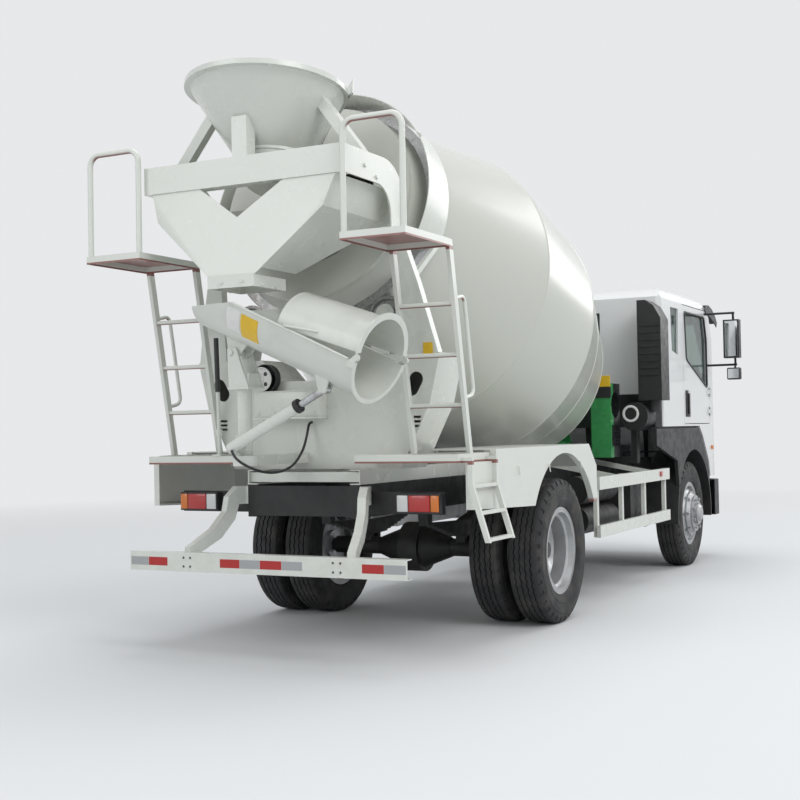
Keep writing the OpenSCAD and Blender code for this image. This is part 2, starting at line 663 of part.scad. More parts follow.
// Lower platforms, and the short ladder below the right one
step_x = [-1650, -1200];
step_y = [420, 1090];
short_x = [-1600, -1250];
short_foot = 680;
short_lean = 100;
module lower_steps() color(white) place() {
    both_sides() difference() {
        box([step_x[0], step_y[0], step_z - 50], [step_x[1], step_y[1], step_z]);
        box([step_x[0] + 5, step_y[0] + 5, step_z - 45], [step_x[1] - 5, step_y[1] - 5, step_z - 5]);
        box([ped_rear_x, 0, step_z - 60], [step_x[1] + 1, 670, step_z + 1]);
    }
    // Short ladder, which leans outwards at its foot
    for (x = short_x) cross_plate([[-fen_y[1], step_z - 50], [-fen_y[1], 1000],
        [-fen_y[1] - short_lean, short_foot],
        [-fen_y[1] - short_lean - 30, short_foot], [-fen_y[1] - 30, 1010], [-fen_y[1] - 30, step_z - 20],
        [-step_y[1], step_z - 20], [-step_y[1], step_z - 50]], x - 12, x + 12);
    for (z = [short_foot + 15:150:1050]) {
        y = -fen_y[1] - 15 - max(0, 1000 - z) * short_lean / (1000 - short_foot);
        box([short_x[0], y - 15, z - 10], [short_x[1], y + 12, z + 10]);
    }
}

// Rear fenders: a side panel with its arch, and a top sheet over the tyres
fen_y = [580, 1130];
fen_top = 1200;
arch_r = 660;
module rear_fenders() color(white) place() both_sides() difference() {
    union() {
        side_plate([[-1550, 860], [660, 780], [660, fen_top - 160], [500, fen_top],
            [step_x[1] + 6, fen_top],
            [step_x[1] + 6, step_z - 50.2], [-1550, step_z - 50.2]], fen_y[1] - 40, fen_y[1]);
        side_plate([[-1180, fen_top - 8], [-1180, fen_top], [500, fen_top], [660, fen_top - 160],
            [654, fen_top - 166], [496, fen_top - 8]], fen_y[0], fen_y[1]);
        for (x = [-1000, 300]) box([x, frame_half_w, 1120], [x + 40, fen_y[0] + 60, fen_top - 8]);
    }
    box([-1300, 0, 1100], [ped_front_x + 5, 700, 1300]);
    translate([0, fen_y[1] + 1, axle_z]) rotate([90, 0, 0]) cylinder(r = arch_r, h = 200, $fn = 96);
    // The panel's inside is open
    side_plate([[-1540, 872], [-700, 845], [-700, step_z - 62], [-1540, step_z - 62]],
        fen_y[1] - 41, fen_y[1] - 5);
}

// Side guards between the wheels
sg_x = [965, 2900];
sg_y = 1050;
sg_stays = [[-1, 1420], [-1, 2360], [1, 1060], [1, 2360]];
module side_guards() color(white) place() {
    both_sides() guard_bars();
    // Stays down from the mixer's rails
    difference() {
        for (p = sg_stays)
            square_bar([p[1], p[0] * (frame_half_w - 20), 1050], [p[1], p[0] * (sg_y - 22), 925], 40);
        box([0, -frame_half_w, 900], [3000, frame_half_w, 1200]);
    }
}
module guard_bars() {
    box([sg_x[0], sg_y - 30, 847], [sg_x[1], sg_y, 944]);
    box([sg_x[0], sg_y - 30, 490], [sg_x[1], sg_y, 580]);
    for (i = [0:3]) {
        x = sg_x[0] + 20 + i * (sg_x[1] - sg_x[0] - 80) / 3;
        box([x, sg_y - 60, 490], [x + 40, sg_y - 30, 944]);
    }
}

// Underrun bar on two S-shaped arms
under_x = -2025;
under_z = [503, 617];
under_half_w = 945;
module underrun_bar() color(white) place() {
    difference() {
        box([under_x, -under_half_w, under_z[0]], [under_x + 60, under_half_w, under_z[1]]);
        box([under_x + 6, -under_half_w - 1, under_z[0] + 6],
            [under_x + 61, under_half_w + 1, under_z[1] - 6]);
    }
    both_sides() difference() {
        translate([frame_rear_x, frame_half_w + 40, 0]) rotate([0, 0, -17])
            side_plate([[30, 880], [30, 990], [-60, 990], [-130, 930], [-150, 840], [-250, 740],
                [-430, 640],
                [-440, 520], [-390, 520], [-360, 600], [-190, 680], [-80, 790], [-50, 880]], -25, 25);
        box([under_x - 100, 0, 0], [under_x + 6, 900, 3000]);
        box([under_x, 0, under_z[0] - 100], [under_x + 60.5, 900, under_z[0] + 6]);
        box([under_x, 0, under_z[1] - 6], [under_x + 60, 900, under_z[1]]);
        box([-3000, -100, 0], [0, frame_half_w, 2000]);
    }
    both_sides() box([frame_rear_x, frame_half_w, 880], [lamp_x, frame_half_w + 40, 990]);
}

// Tail lamps on their carriers and headlamps in the bumper
module lamps() color("#b02a1e") place() both_sides() {
    box([lamp_x - 45, lamp_y[0], lamp_z[0]], [lamp_x, lamp_y[1], lamp_z[1]]);
    box([front_x - 70 + gap, 700, 560], [front_x - 4, 940, 690]);
}

// Rear axle: banjo housing, tubes and spindles
hub_r = 45;
wheel_y_rear = track_rear / 2;
module rear_axle() color(black) place() translate([0, 0, axle_z]) {
    both_sides() {
        rotate([-90, 0, 0]) cylinder(r = 62, h = wheel_y_rear - 200);
        rotate([-90, 0, 0]) cylinder(r = hub_r, h = wheel_y_rear + 60);
        translate([0, 60, 0]) rotate([-90, 0, 0]) cylinder(r1 = 150, r2 = 66, h = 220);
        for (x = [-1, 1]) box([x * 50 - 20, frame_half_w - 65, 40], [x * 50 + 20, frame_half_w + 5, 88]);
    }
    rotate([90, 0, 0]) cylinder(r = 175, h = 150, center = true);
    rotate([0, 90, 0]) cylinder(r1 = 130, r2 = 80, h = 250);
}

// Front axle beam with its eyes for the kingpins
king_y = track_front / 2 - 125;
king_r = 22;
wheel_y_front = track_front / 2;
module front_axle() color(black) place() translate([wheelbase, 0, 0]) {
    drop = axle_z - 90;
    end_y = king_y - 30;
    cross_plate([[-end_y, axle_z - 45], [-560, drop - 45], [560, drop - 45], [end_y, axle_z - 45],
        [end_y, axle_z + 45], [560, drop + 45], [-560, drop + 45], [-end_y, axle_z + 45]], -40, 40);
    both_sides() {
        difference() {
            translate([0, king_y, axle_z - 60]) cylinder(r = 42, h = 120);
            translate([0, king_y, axle_z - 70]) cylinder(r = king_r + gap, h = 140);
        }
        box([-60, frame_half_w - 65, drop + 45], [60, frame_half_w + 5, axle_z + 5]);
    }
}

// Leaf springs of both axles, with their hangers
spring_w = 70;
module spring(x, seat_z, half_l, leaves) {
    y0 = frame_half_w - spring_w + 5;
    y1 = frame_half_w + 5;
    for (k = [0:leaves - 1]) {
        l = half_l - k * half_l * 0.8 / leaves;
        z = seat_z + (leaves - 1 - k) * 12;
        rise = 20 * l / half_l;
        side_plate([[x - l, z + rise], [x - 60, z], [x + 60, z], [x + l, z + rise], [x + l, z + 12 + rise],
            [x + 60, z + 12], [x - 60, z + 12], [x - l, z + 12 + rise]], y0, y1);
    }
    top_z = seat_z + leaves * 12 + 20;
    for (s = [-1, 1])
        side_plate([[x + s * half_l - 45, frame_z], [x + s * half_l + 45, frame_z],
            [x + s * half_l + 25, top_z - 16], [x + s * half_l - 25, top_z - 16]], y0, y1);
}
module leaf_springs() color(dark) place() both_sides() {
    spring(0, axle_z + 88, 620, 9);
    spring(wheelbase, axle_z + 5, 600, 8);
}

// Engine and gearbox between the rails, one plain block
module engine() color("#6d7276") place() {
    box([3060, -300, 640], [4180, 300, 1130]);
    box([2560, -160, 660], [3060, 160, 960]);
    both_sides() box([3300, 300, 850], [3380, frame_half_w - frame_wall, 900]);
}

// Propeller shaft from the gearbox to the rear axle, with its middle bearing on a cross bar
shaft_x = [250, 1400, 2560];
shaft_z = [axle_z, 740, 800];
module prop_shaft() color(dark) place() {
    translate([shaft_x[2] - 14, 0, shaft_z[2]]) rotate([0, 90, 0]) cylinder(r = 60, h = 14);
    bar([shaft_x[2] - 14, 0, shaft_z[2]], [shaft_x[1], 0, shaft_z[1]], 42);
    translate([shaft_x[1], 0, shaft_z[1]]) sphere(r = 62);
    bar([shaft_x[1], 0, shaft_z[1]], [shaft_x[0] + 14, 0, shaft_z[0]], 42);
    translate([shaft_x[0], 0, shaft_z[0]]) rotate([0, 90, 0]) cylinder(r = 60, h = 14);
    inner = frame_half_w - frame_wall;
    box([shaft_x[1] - 30, -inner, frame_z + frame_wall],
        [shaft_x[1] + 30, inner, frame_z + frame_wall + 20]);
    box([shaft_x[1] - 15, -75, shaft_z[1]], [shaft_x[1] + 15, 75, frame_z + frame_wall + 5]);
}

// Fuel tank on the left
tank_x = [1150, 1950];
module fuel_tank() color(steel) place() {
    side = [[520, 560], [960, 560], [990, 590], [990, 930], [960, 960], [520, 960], [490, 930],
        [490, 590]];
    cross_plate(side, tank_x[0], tank_x[1]);
    for (x = [1250, 1800]) {
        box([x, frame_half_w, 900], [x + 50, 490, 990]);
        cross_plate([[484, 554], [996, 554], [996, 966], [484, 966]], x + 5, x + 6);
    }
    translate([1300, 900, 960]) cylinder(r = 45, h = 30);
}

// Air tanks and the battery box on the right
module air_tanks() color(dark) place() {
    for (z = [600, 830]) translate([1100, -800, z]) rotate([0, 90, 0]) cylinder(r = 110, h = 760);
    for (x = [1140, 1780]) {
        box([x, -720, 600], [x + 40, -680, 870]);
        box([x, -700, 840], [x + 40, -frame_half_w, 880]);
    }
    box([2020, -960, 560], [2480, -500, 900]);
    box([2100, -500, 830], [2400, -frame_half_w, 890]);
}

// Air intake behind the cab: column at the cab's corner, filter and pipe
intake_x = [cab_rear_x - 272, cab_rear_x - 30];
intake_y = [-1130, -925];
intake_z = [1536, 2395];
module air_intake() color(black) place() {
    cross_plate([[intake_y[0], intake_z[0]], [intake_y[1], intake_z[0]], [intake_y[1], intake_z[1]],
        [intake_y[0] + 130, intake_z[1]], [intake_y[0] + 60, intake_z[1] - 50],
        [intake_y[0], intake_z[1] - 160]],
        intake_x[0], intake_x[1]);
    for (z = [1750:60:2170])
        box([intake_x[0] - 8, intake_y[0] + 15, z], [intake_x[0], intake_y[1] - 15, z + 25]);
    translate([intake_x[0] + 120, intake_y[1] - 100, 1440]) cylinder(r = 62, h = 100);
    translate([intake_x[0] - 60, intake_y[1] + 25, 1400]) rotate([0, 90, 0]) cylinder(r = 120, h = 260);
    box([intake_x[0] + 10, -900, frame_top], [intake_x[0] + 90, -frame_half_w + 60, 1060]);
    box([intake_x[0] + 10, -900, 1060], [intake_x[0] + 90, -850, 1290]);
}

// Silencer and tail pipe on the left behind the cab
module exhaust() color("#8a8d90") place() {
    translate([2400, 640, 700]) rotate([0, 90, 0]) cylinder(r = 120, h = 520);
    bar([2920, 640, 700], [3000, 600, 720], 40);
    box([2600, frame_half_w, 800], [2640, 640, 850]);
}

// Front bumper and mudguards
bump_z = [420, 772];
module front_bumper() color(black) place() {
    both_sides() {
        box([4540, frame_half_w - 60, 640], [front_x - 70, frame_half_w - 20, 755]);
        box([4540, frame_half_w - 60, 750], [frame_front_x, frame_half_w - 20, frame_z]);
    }
    bumper_shell();
}
module bumper_shell() difference() {
    translate([0, 0, bump_z[0]]) linear_extrude(bump_z[1] - bump_z[0])
        polygon([[frame_front_x, -1040], [4760, -1040], [front_x, -900], [front_x, 900], [4760, 1040],
            [frame_front_x, 1040]]);
    box([frame_front_x - 1, -1030, bump_z[0] + 10], [4756, 1030, bump_z[1] - 10]);
    box([frame_front_x - 1, -890, bump_z[0] + 10], [front_x - 70, 890, bump_z[1] - 10]);
    both_sides() box([front_x - 71, 700 - gap, 560 - gap], [front_x + 1, 940 + gap, 690 + gap]);
    for (z = [450:40:520]) box([front_x - 30, -500, z], [front_x + 1, 500, z + 18]);
}
mud_r = 600;
mud_y = [745, 1045];
mud_outline = [[2540, 1150], [2540, 1292], [3985, 1292], [4110, 1200], [4325, 955], [4370, 815],
    [4370, 600],
    [4340, 600], [4300, 480], [3300, 480], [3200, 1000]];
module front_mudguards() color(black) place() both_sides() {
    for (x = [-160, 120]) {
        box([wheelbase + x, frame_half_w, axle_z + mud_r - 20],
            [wheelbase + x + 40, mud_y[0] + 3, axle_z + mud_r - 12]);
        box([wheelbase + x, frame_half_w, 940],
            [wheelbase + x + 40, frame_half_w + 8, axle_z + mud_r - 12]);
    }
    // Arch over the tyre, and the panel from it up to the cab
    difference() {
        union() {
            translate([wheelbase, mud_y[1], axle_z]) rotate([90, 0, 0])
                cylinder(r = mud_r + 20, h = mud_y[1] - mud_y[0], $fn = 96);
            side_plate(mud_outline, mud_y[1] - 30, mud_y[1]);
        }
        translate([wheelbase, mud_y[1] + 1, axle_z]) rotate([90, 0, 0])
            cylinder(r = mud_r, h = 320, $fn = 96);
        box([0, 0, -1000], [8000, 2000, axle_z - 60]);
    }
}

// Steering knuckles: fork round the axle's eye, kingpin and wheel spindle
module knuckle() translate([wheelbase, king_y, axle_z]) {
    translate([0, 0, -85]) cylinder(r = king_r, h = 170);
    for (z = [-88, 60.3]) translate([0, 0, z]) cylinder(r = 42, h = 27.7);
    difference() {
        box([-45, 20, -88], [45, 70, 88]);
        translate([0, 0, -60.3]) cylinder(r = 45, h = 120.6);
    }
    translate([0, 60, 0]) rotate([-90, 0, 0]) cylinder(r = hub_r, h = 120);
    box([-200, -30, -88], [0, -10, -70]);
    box([-45, -30, -88], [0, 0, -70]);
}
module knuckle_left() color(dark) place() knuckle();
module knuckle_right() color(dark) place() mirror([0, 1, 0]) knuckle();

// Wheel: the rim's barrel with its dished disc on the outer side (+y), at the wheel's own centre
rim_w = 184;
disc_off = dual_space / 2;
module wheel_rim() {
    f = rim_d / 2;
    h = rim_w / 2;
    b = f - 30;
    // [radius, place along the axle]
    rotate([-90, 0, 0]) rotate_extrude($fn = 72) polygon([[f, -h], [f, -h + 8], [b, -h + 12],
        [b - 8, 40 - h],
        [b - 24, 52 - h], [b - 24, h - 52], [b - 8, h - 40], [b, h - 12], [f, h - 8], [f, h], [b - 6, h],
        [b - 16, h - 36], [b - 32, h - 48], [b - 32, 48 - h], [b - 16, 36 - h], [b - 6, -h]]);
    // The dished disc with its hand holes
    difference() {
        rotate([-90, 0, 0]) rotate_extrude($fn = 72) polygon([[b - 28, h - 48], [b - 28, h - 34],
            [170, disc_off], [100, disc_off], [100, disc_off - 14], [165, disc_off - 14]]);
        for (k = [0:nut_count - 1]) rotate([0, k * 360 / nut_count, 0]) translate([195, 0, 0])
            rotate([-90, 0, 0]) cylinder(r = 20, h = 300);
    }
}
module wheel_tyre() {
    f = rim_d / 2 - 4;
    r = tyre_d / 2;
    h = tyre_w / 2;
    q = rim_w / 2;
    // [radius, place along the axle]
    rotate([-90, 0, 0]) rotate_extrude($fn = 96) polygon([[f - 26, -q + 12.5], [f + 4.5, -q + 8],
        [f + 4.5, -q - 2], [f + 40, -h + 6], [(f + r) / 2, -h], [r - 40, -h + 8], [r - 8, -h + 22],
            [r, -h + 40],
        [r, h - 40], [r - 8, h - 22], [r - 40, h - 8], [(f + r) / 2, h], [f + 40, h - 6], [f + 4.5, q + 2],
        [f + 4.5, q - 8], [f - 26, q - 12.5], [f - 26, q - 30], [f + 20, q - 36],
        [f + 20, 36 - q], [f - 26, 30 - q]]);
}
// Brake drum behind the wheel's disc
brake_r = 205;
brake_l = 130;
module hub(len_in, len_out) difference() {
    union() {
        rotate([-90, 0, 0]) translate([0, 0, -len_in]) cylinder(r = 99.5, h = len_in + len_out);
        rotate([-90, 0, 0]) translate([0, 0, 14]) cylinder(r = 168, h = 14);
        rotate([-90, 0, 0]) translate([0, 0, len_out]) cylinder(r1 = 80, r2 = 60, h = 20);
        for (k = [0:nut_count - 1]) rotate([0, (k + 0.5) * 360 / nut_count, 0]) translate([137, 27, 0])
            rotate([-90, 0, 0]) cylinder(r = 16, h = 25, $fn = 6);
        rotate([-90, 0, 0]) translate([0, 0, -brake_l - 14]) cylinder(r = brake_r, h = brake_l - gap);
    }
    rotate([-90, 0, 0]) translate([0, 0, -len_in - 1]) cylinder(r = hub_r + gap, h = len_in + len_out - 20);
}
module rim_front() translate([wheelbase, wheel_y_front, axle_z]) {
    wheel_rim();
    translate([0, disc_off - 14, 0]) hub(150, 60);
}
module tyre_front() translate([wheelbase, wheel_y_front, axle_z]) wheel_tyre();
module rim_rear() translate([0, wheel_y_rear, axle_z]) {
    translate([0, dual_space / 2, 0]) mirror([0, 1, 0]) wheel_rim();
    translate([0, -dual_space / 2, 0]) wheel_rim();
    hub(170, 110);
}
module tyre_rear() translate([0, wheel_y_rear, axle_z]) for (s = [-1, 1])
    translate([0, s * dual_space / 2, 0]) wheel_tyre();
module rim_fl() color(steel) place() rim_front();
module rim_fr() color(steel) place() mirror([0, 1, 0]) rim_front();
module rim_rl() color(steel) place() rim_rear();
module rim_rr() color(steel) place() mirror([0, 1, 0]) rim_rear();
module tyre_fl() color(black) place() tyre_front();
module tyre_fr() color(black) place() mirror([0, 1, 0]) tyre_front();
module tyre_rl() color(black) place() tyre_rear();
module tyre_rr() color(black) place() mirror([0, 1, 0]) tyre_rear();

// Cab: one closed form seen from the side, from above and from the front, moved inwards by t
cab_side = [[cab_rear_x, cab_floor_z], [4805, cab_floor_z], [cab_front_x, 1500], [4760, 1780], [4420, 2440],
    [4300, 2520], [4000, cab_top_z], [2900, cab_top_z - 20], [cab_rear_x + 20, cab_top_z - 110]];
cab_plan = [[cab_rear_x, -cab_half_w + 60], [cab_rear_x + 60, -cab_half_w], [4560, -cab_half_w],
    [4740, -cab_half_w + 60], [cab_front_x, -cab_half_w + 260], [cab_front_x, cab_half_w - 260],
    [4740, cab_half_w - 60], [4560, cab_half_w], [cab_rear_x + 60, cab_half_w],
        [cab_rear_x, cab_half_w - 60]];
cab_cross = [[-cab_half_w, 0], [cab_half_w, 0], [cab_half_w, 2440], [cab_half_w - 40, 2510],
    [cab_half_w - 130, cab_top_z],
    [-cab_half_w + 130, cab_top_z], [-cab_half_w + 40, 2510], [-cab_half_w, 2440]];
module cab_form(t) intersection() {
    side_plate(inset(cab_side, t), -1200, 1200);
    linear_extrude(3000) polygon(inset(cab_plan, t));
    cross_plate(inset(cab_cross, t), 2000, 5000);
}
door_x = [3460, 4400];
door_z = [1335, 2430];
door_outline = [[door_x[0], door_z[0]], [door_x[1], door_z[0]], [door_x[1], 2190], [4300, door_z[1]],
    [door_x[0], door_z[1]]];
door_window = [[3560, 1930], [4330, 1680], [4330, 2150], [4250, 2370], [3510, 2370]];
quarter_window = [[3070, 1990], [3280, 1955], [3310, 2380], [3040, 2380]];
rear_window = [[-500, 1900], [500, 1900], [500, 2330], [-500, 2330]];
screen_z = [1840, 2410];
screen_half_w = 930;
module cab_windows(t) {
    // Side quarter windows, rear window and windscreen
    both_sides() side_plate(inset(quarter_window, t), cab_half_w - 100, cab_half_w + 50);
    cross_plate(inset(rear_window, t), cab_rear_x - 100, cab_rear_x + 120);
    cross_plate(inset([[-screen_half_w, screen_z[0]], [screen_half_w, screen_z[0]],
        [screen_half_w - 40, screen_z[1]], [-screen_half_w + 40, screen_z[1]]], t), 4380, 4900);
}
hinge_x = door_x[1] + 12;
hinge_y = cab_half_w + 13;
hinge_pin_r = 6;
hinge_zs = [1450, 1640];
module cab_shell() color(white) place() {
    difference() {
        cab_form(0);
        cab_form(cab_wall);
        cab_windows(0);
        both_sides() side_plate(inset(door_outline, -door_gap), cab_half_w - 100, cab_half_w + 50);
    }
    front_apron();
    // Pins and leaves of the door hinges
    both_sides() for (z = hinge_zs) {
        translate([hinge_x, hinge_y, z - 45]) cylinder(r = hinge_pin_r, h = 90);
        for (dz = [-45, 20]) {
            translate([hinge_x, hinge_y, z + dz]) cylinder(r = 12, h = 25);
            box([hinge_x, cab_half_w - 5, z + dz], [hinge_x + 50, hinge_y, z + dz + 25]);
        }
    }
}
// Apron below the floor: the front and the two corners, ahead of the wheel arches
apron_t = 30;
apron_side = [[4000, cab_floor_z + 2], [4130, 1212], [4345, 968], [4390, 815], [4805, 815],
    [4816, cab_floor_z + 2]];
module front_apron() difference() {
    intersection() {
        side_plate(apron_side, -1200, 1200);
        linear_extrude(3000) polygon(cab_plan);
    }
    intersection() {
        box([3900, -1200, 800], [4775, 1200, cab_floor_z]);
        linear_extrude(3000) polygon(inset(cab_plan, apron_t));
    }
}
module cab_glass() color("#7fa3ad", 0.5) place() intersection() {
    difference() {
        cab_form(16);
        cab_form(16 + glass_t);
    }
    cab_windows(gap);
}

// Grille, visor, tilt hinge ears and other black pieces of the cab
module cab_trim() color(black) place() {
    difference() {
        for (z = [1350:60:1590]) box([4780, -600, z], [cab_front_x + 14, 600, z + 35]);
        cab_form(0);
    }
    // Tilt hinge ears under the floor
    both_sides() difference() {
        side_plate([[tilt_x - 30, tilt_z - 30], [tilt_x + 30, tilt_z - 30], [tilt_x + 28, cab_floor_z],
            [tilt_x - 90, cab_floor_z]], 300, 318);
        translate([tilt_x, 400, tilt_z]) rotate([90, 0, 0]) cylinder(r = 16 + gap, h = 300);
    }
}

// Seats, floor tunnel cover, dashboard and steering wheel
module cab_interior() color(dark) place() {
    floor_z = cab_floor_z + cab_wall;
    both_sides() {
        box([3300, 330, floor_z], [3800, 830, floor_z + 220]);
        side_plate([[3200, floor_z + 220], [3340, floor_z + 220], [3260, floor_z + 900],
            [3140, floor_z + 900]], 340, 820);
    }
    side_plate([[4380, floor_z + 350], [4640, floor_z + 350], [4560, floor_z + 560], [4420, floor_z + 520]],
        -cab_half_w + 130, cab_half_w - 130);
    both_sides() box([4420, 700, floor_z], [4600, 900, floor_z + 350]);
    wheel_at = [4150, 580, floor_z + 640];
    bar(wheel_at, [4400, 580, floor_z + 440], 22);
    translate(wheel_at) rotate([0, -25, 0]) {
        rotate_extrude() translate([215, 0]) circle(r = 15, $fn = 10);
        for (a = [90, 210, 330]) rotate([0, 0, a]) translate([10, -12, -6]) cube([200, 24, 12]);
    }
}

// Doors: the same wall as the cab, cut out with a gap all round
module door() {
    difference() {
        intersection() {
            difference() {
                cab_form(0);
                cab_form(cab_wall);
            }
            side_plate(door_outline, cab_half_w - 60, cab_half_w + 10);
        }
        side_plate(door_window, cab_half_w - 100, cab_half_w + 50);
    }
    for (z = hinge_zs) difference() {
        union() {
            translate([hinge_x, hinge_y, z - 19]) cylinder(r = 12, h = 38);
            box([hinge_x - 70, cab_half_w - 2, z - 19], [door_x[1] - 5, hinge_y, z + 19]);
            box([door_x[1] - 6, cab_half_w + 1, z - 19], [hinge_x, hinge_y, z + 19]);
        }
        translate([hinge_x, hinge_y, z - 50]) cylinder(r = hinge_pin_r + gap, h = 100);
    }
    // Handle
    box([3575, cab_half_w - 2, 1425], [3615, cab_half_w + 14, 1650]);
}
module door_pane() intersection() {
    difference() {
        cab_form(16);
        cab_form(16 + glass_t);
    }
    side_plate(inset(door_window, gap), cab_half_w - 60, cab_half_w + 10);
}
module door_left() color(white) place() door();
module door_right() color(white) place() mirror([0, 1, 0]) door();
module door_glass_left() color("#7fa3ad", 0.5) place() door_pane();
module door_glass_right() color("#7fa3ad", 0.5) place() mirror([0, 1, 0]) door_pane();

// Mirrors on the doors
module mirror_set() {
    top = [4280, 1330, 2400];
    low = [4350, 1330, 1900];
    for (p = [top, low]) bar([p[0], cab_half_w + gap, p[2]], p + [0, 14, 0], 11);
    bar(low, top, 11);
    box([4200, 1250, 1960], [4292, 1400, 2330]);
}
module mirror_left() color(black) place() mirror_set();
module mirror_right() color(black) place() mirror([0, 1, 0]) mirror_set();

chassis_frame();
subframe();
rear_pedestal();
front_pedestal();
oil_cooler();
reducer();
drum();
drum_ring();
roller_right();
roller_left();
charging_hopper();
hopper_frame();
ring_guard();
discharge_collector();
chute_swivel();
main_chute();
chute_extension();
lift_barrel();
lift_rod();
access_right();
access_left();
lower_steps();
rear_fenders();
side_guards();
underrun_bar();
lamps();
rear_axle();
front_axle();
leaf_springs();
engine();
prop_shaft();
fuel_tank();
air_tanks();
air_intake();
exhaust();
front_bumper();
front_mudguards();
knuckle_right();
knuckle_left();
rim_fr();
tyre_fr();
rim_fl();
tyre_fl();
rim_rr();
tyre_rr();
rim_rl();
tyre_rl();
cab_shell();
cab_glass();
cab_trim();
cab_interior();
door_right();
door_left();
door_glass_right();
door_glass_left();
mirror_right();
mirror_left();
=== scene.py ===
import json
import math

import bpy
from mathutils import Matrix, Vector

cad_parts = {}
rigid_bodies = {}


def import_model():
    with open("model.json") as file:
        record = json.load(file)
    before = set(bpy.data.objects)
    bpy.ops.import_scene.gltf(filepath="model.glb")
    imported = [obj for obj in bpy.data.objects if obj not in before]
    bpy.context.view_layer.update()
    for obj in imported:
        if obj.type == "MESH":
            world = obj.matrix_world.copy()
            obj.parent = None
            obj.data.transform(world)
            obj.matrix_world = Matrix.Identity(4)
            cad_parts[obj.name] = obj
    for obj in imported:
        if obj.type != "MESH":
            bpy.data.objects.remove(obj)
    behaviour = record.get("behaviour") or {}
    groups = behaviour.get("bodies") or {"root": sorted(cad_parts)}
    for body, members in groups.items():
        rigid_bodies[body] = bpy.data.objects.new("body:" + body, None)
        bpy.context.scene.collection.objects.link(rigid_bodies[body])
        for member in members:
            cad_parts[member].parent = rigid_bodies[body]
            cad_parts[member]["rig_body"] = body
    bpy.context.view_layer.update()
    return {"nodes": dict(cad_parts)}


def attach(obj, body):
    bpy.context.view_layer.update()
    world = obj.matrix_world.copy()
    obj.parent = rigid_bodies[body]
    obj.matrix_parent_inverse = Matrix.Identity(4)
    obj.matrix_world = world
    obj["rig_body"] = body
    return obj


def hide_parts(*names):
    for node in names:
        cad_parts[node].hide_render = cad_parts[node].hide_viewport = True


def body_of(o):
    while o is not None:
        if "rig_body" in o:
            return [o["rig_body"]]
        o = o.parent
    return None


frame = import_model()
nodes = frame["nodes"]


# The place. The truck stands on a plain pale floor under broad soft studio
# lamps, and the camera is behind it on its right, a little under the height
# of a person's eyes.
def deselect():
    if bpy.context.object and bpy.context.object.mode != "OBJECT":
        bpy.ops.object.mode_set(mode="OBJECT")
    bpy.ops.object.select_all(action="DESELECT")


def new_finish(name, colour, roughness, metallic=0.0, **sockets):
    finish = bpy.data.materials.new(name)
    finish.use_nodes = True
    shader = finish.node_tree.nodes["Principled BSDF"]
    shader.inputs["Base Color"].default_value = (*colour, 1)
    shader.inputs["Roughness"].default_value = roughness
    shader.inputs["Metallic"].default_value = metallic
    for socket, value in sockets.items():
        shader.inputs[socket.replace("_", " ")].default_value = value
    return finish


def spread_out(tree, value, low, high, first=0.0, last=1.0):
    """A value that runs from low to high, made to run from first to last."""
    spread = tree.nodes.new("ShaderNodeMapRange")
    spread.inputs["From Min"].default_value = low
    spread.inputs["From Max"].default_value = high
    spread.inputs["To Min"].default_value = first
    spread.inputs["To Max"].default_value = last
    tree.links.new(value, spread.inputs["Value"])
    return spread.outputs["Result"]


def product_of(tree, first, second):
    product = tree.nodes.new("ShaderNodeMath")
    product.operation = "MULTIPLY"
    tree.links.new(first, product.inputs[0])
    tree.links.new(second, product.inputs[1])
    return product.outputs[0]


def in_view(tree):
    """White for what the camera sees straight, in a mirror or through glass, and black for light."""
    rays = tree.nodes.new("ShaderNodeLightPath")
    seen = rays.outputs["Is Camera Ray"]
    for kind in ("Is Glossy Ray", "Is Transmission Ray"):
        either = tree.nodes.new("ShaderNodeMath")
        either.operation = "ADD"
        either.use_clamp = True
        tree.links.new(seen, either.inputs[0])
        tree.links.new(rays.outputs[kind], either.inputs[1])
        seen = either.outputs[0]
    return seen


def lay_backdrop(tree, share, surface, backdrop, output):
    """Shows the backdrop instead of the surface where the share is white."""
    backdrop.inputs["Color"].default_value = (0.80, 0.81, 0.82, 1)
    choice = tree.nodes.new("ShaderNodeMixShader")
    tree.links.new(share, choice.inputs[0])
    tree.links.new(surface.outputs[0], choice.inputs[1])
    tree.links.new(backdrop.outputs[0], choice.inputs[2])
    tree.links.new(choice.outputs[0], output.inputs["Surface"])


deselect()
bpy.ops.mesh.primitive_plane_add(size=120)
floor = bpy.context.object
floor.name = "studio_floor"
pale_floor = new_finish("pale_floor", (0.66, 0.67, 0.68), 0.8)
floor.data.materials.append(pale_floor)
fade_from_r = 5.0
fade_to_r = 17.0
floor_tree = pale_floor.node_tree
floor_place = floor_tree.nodes.new("ShaderNodeTexCoord")
floor_reach = floor_tree.nodes.new("ShaderNodeVectorMath")
floor_reach.operation = "LENGTH"
floor_tree.links.new(floor_place.outputs["Object"], floor_reach.inputs[0])
floor_fade = spread_out(floor_tree, floor_reach.outputs["Value"], fade_from_r, fade_to_r)
lay_backdrop(floor_tree, product_of(floor_tree, floor_fade, in_view(floor_tree)),
             floor_tree.nodes["Principled BSDF"], floor_tree.nodes.new("ShaderNodeEmission"),
             floor_tree.nodes["Material Output"])

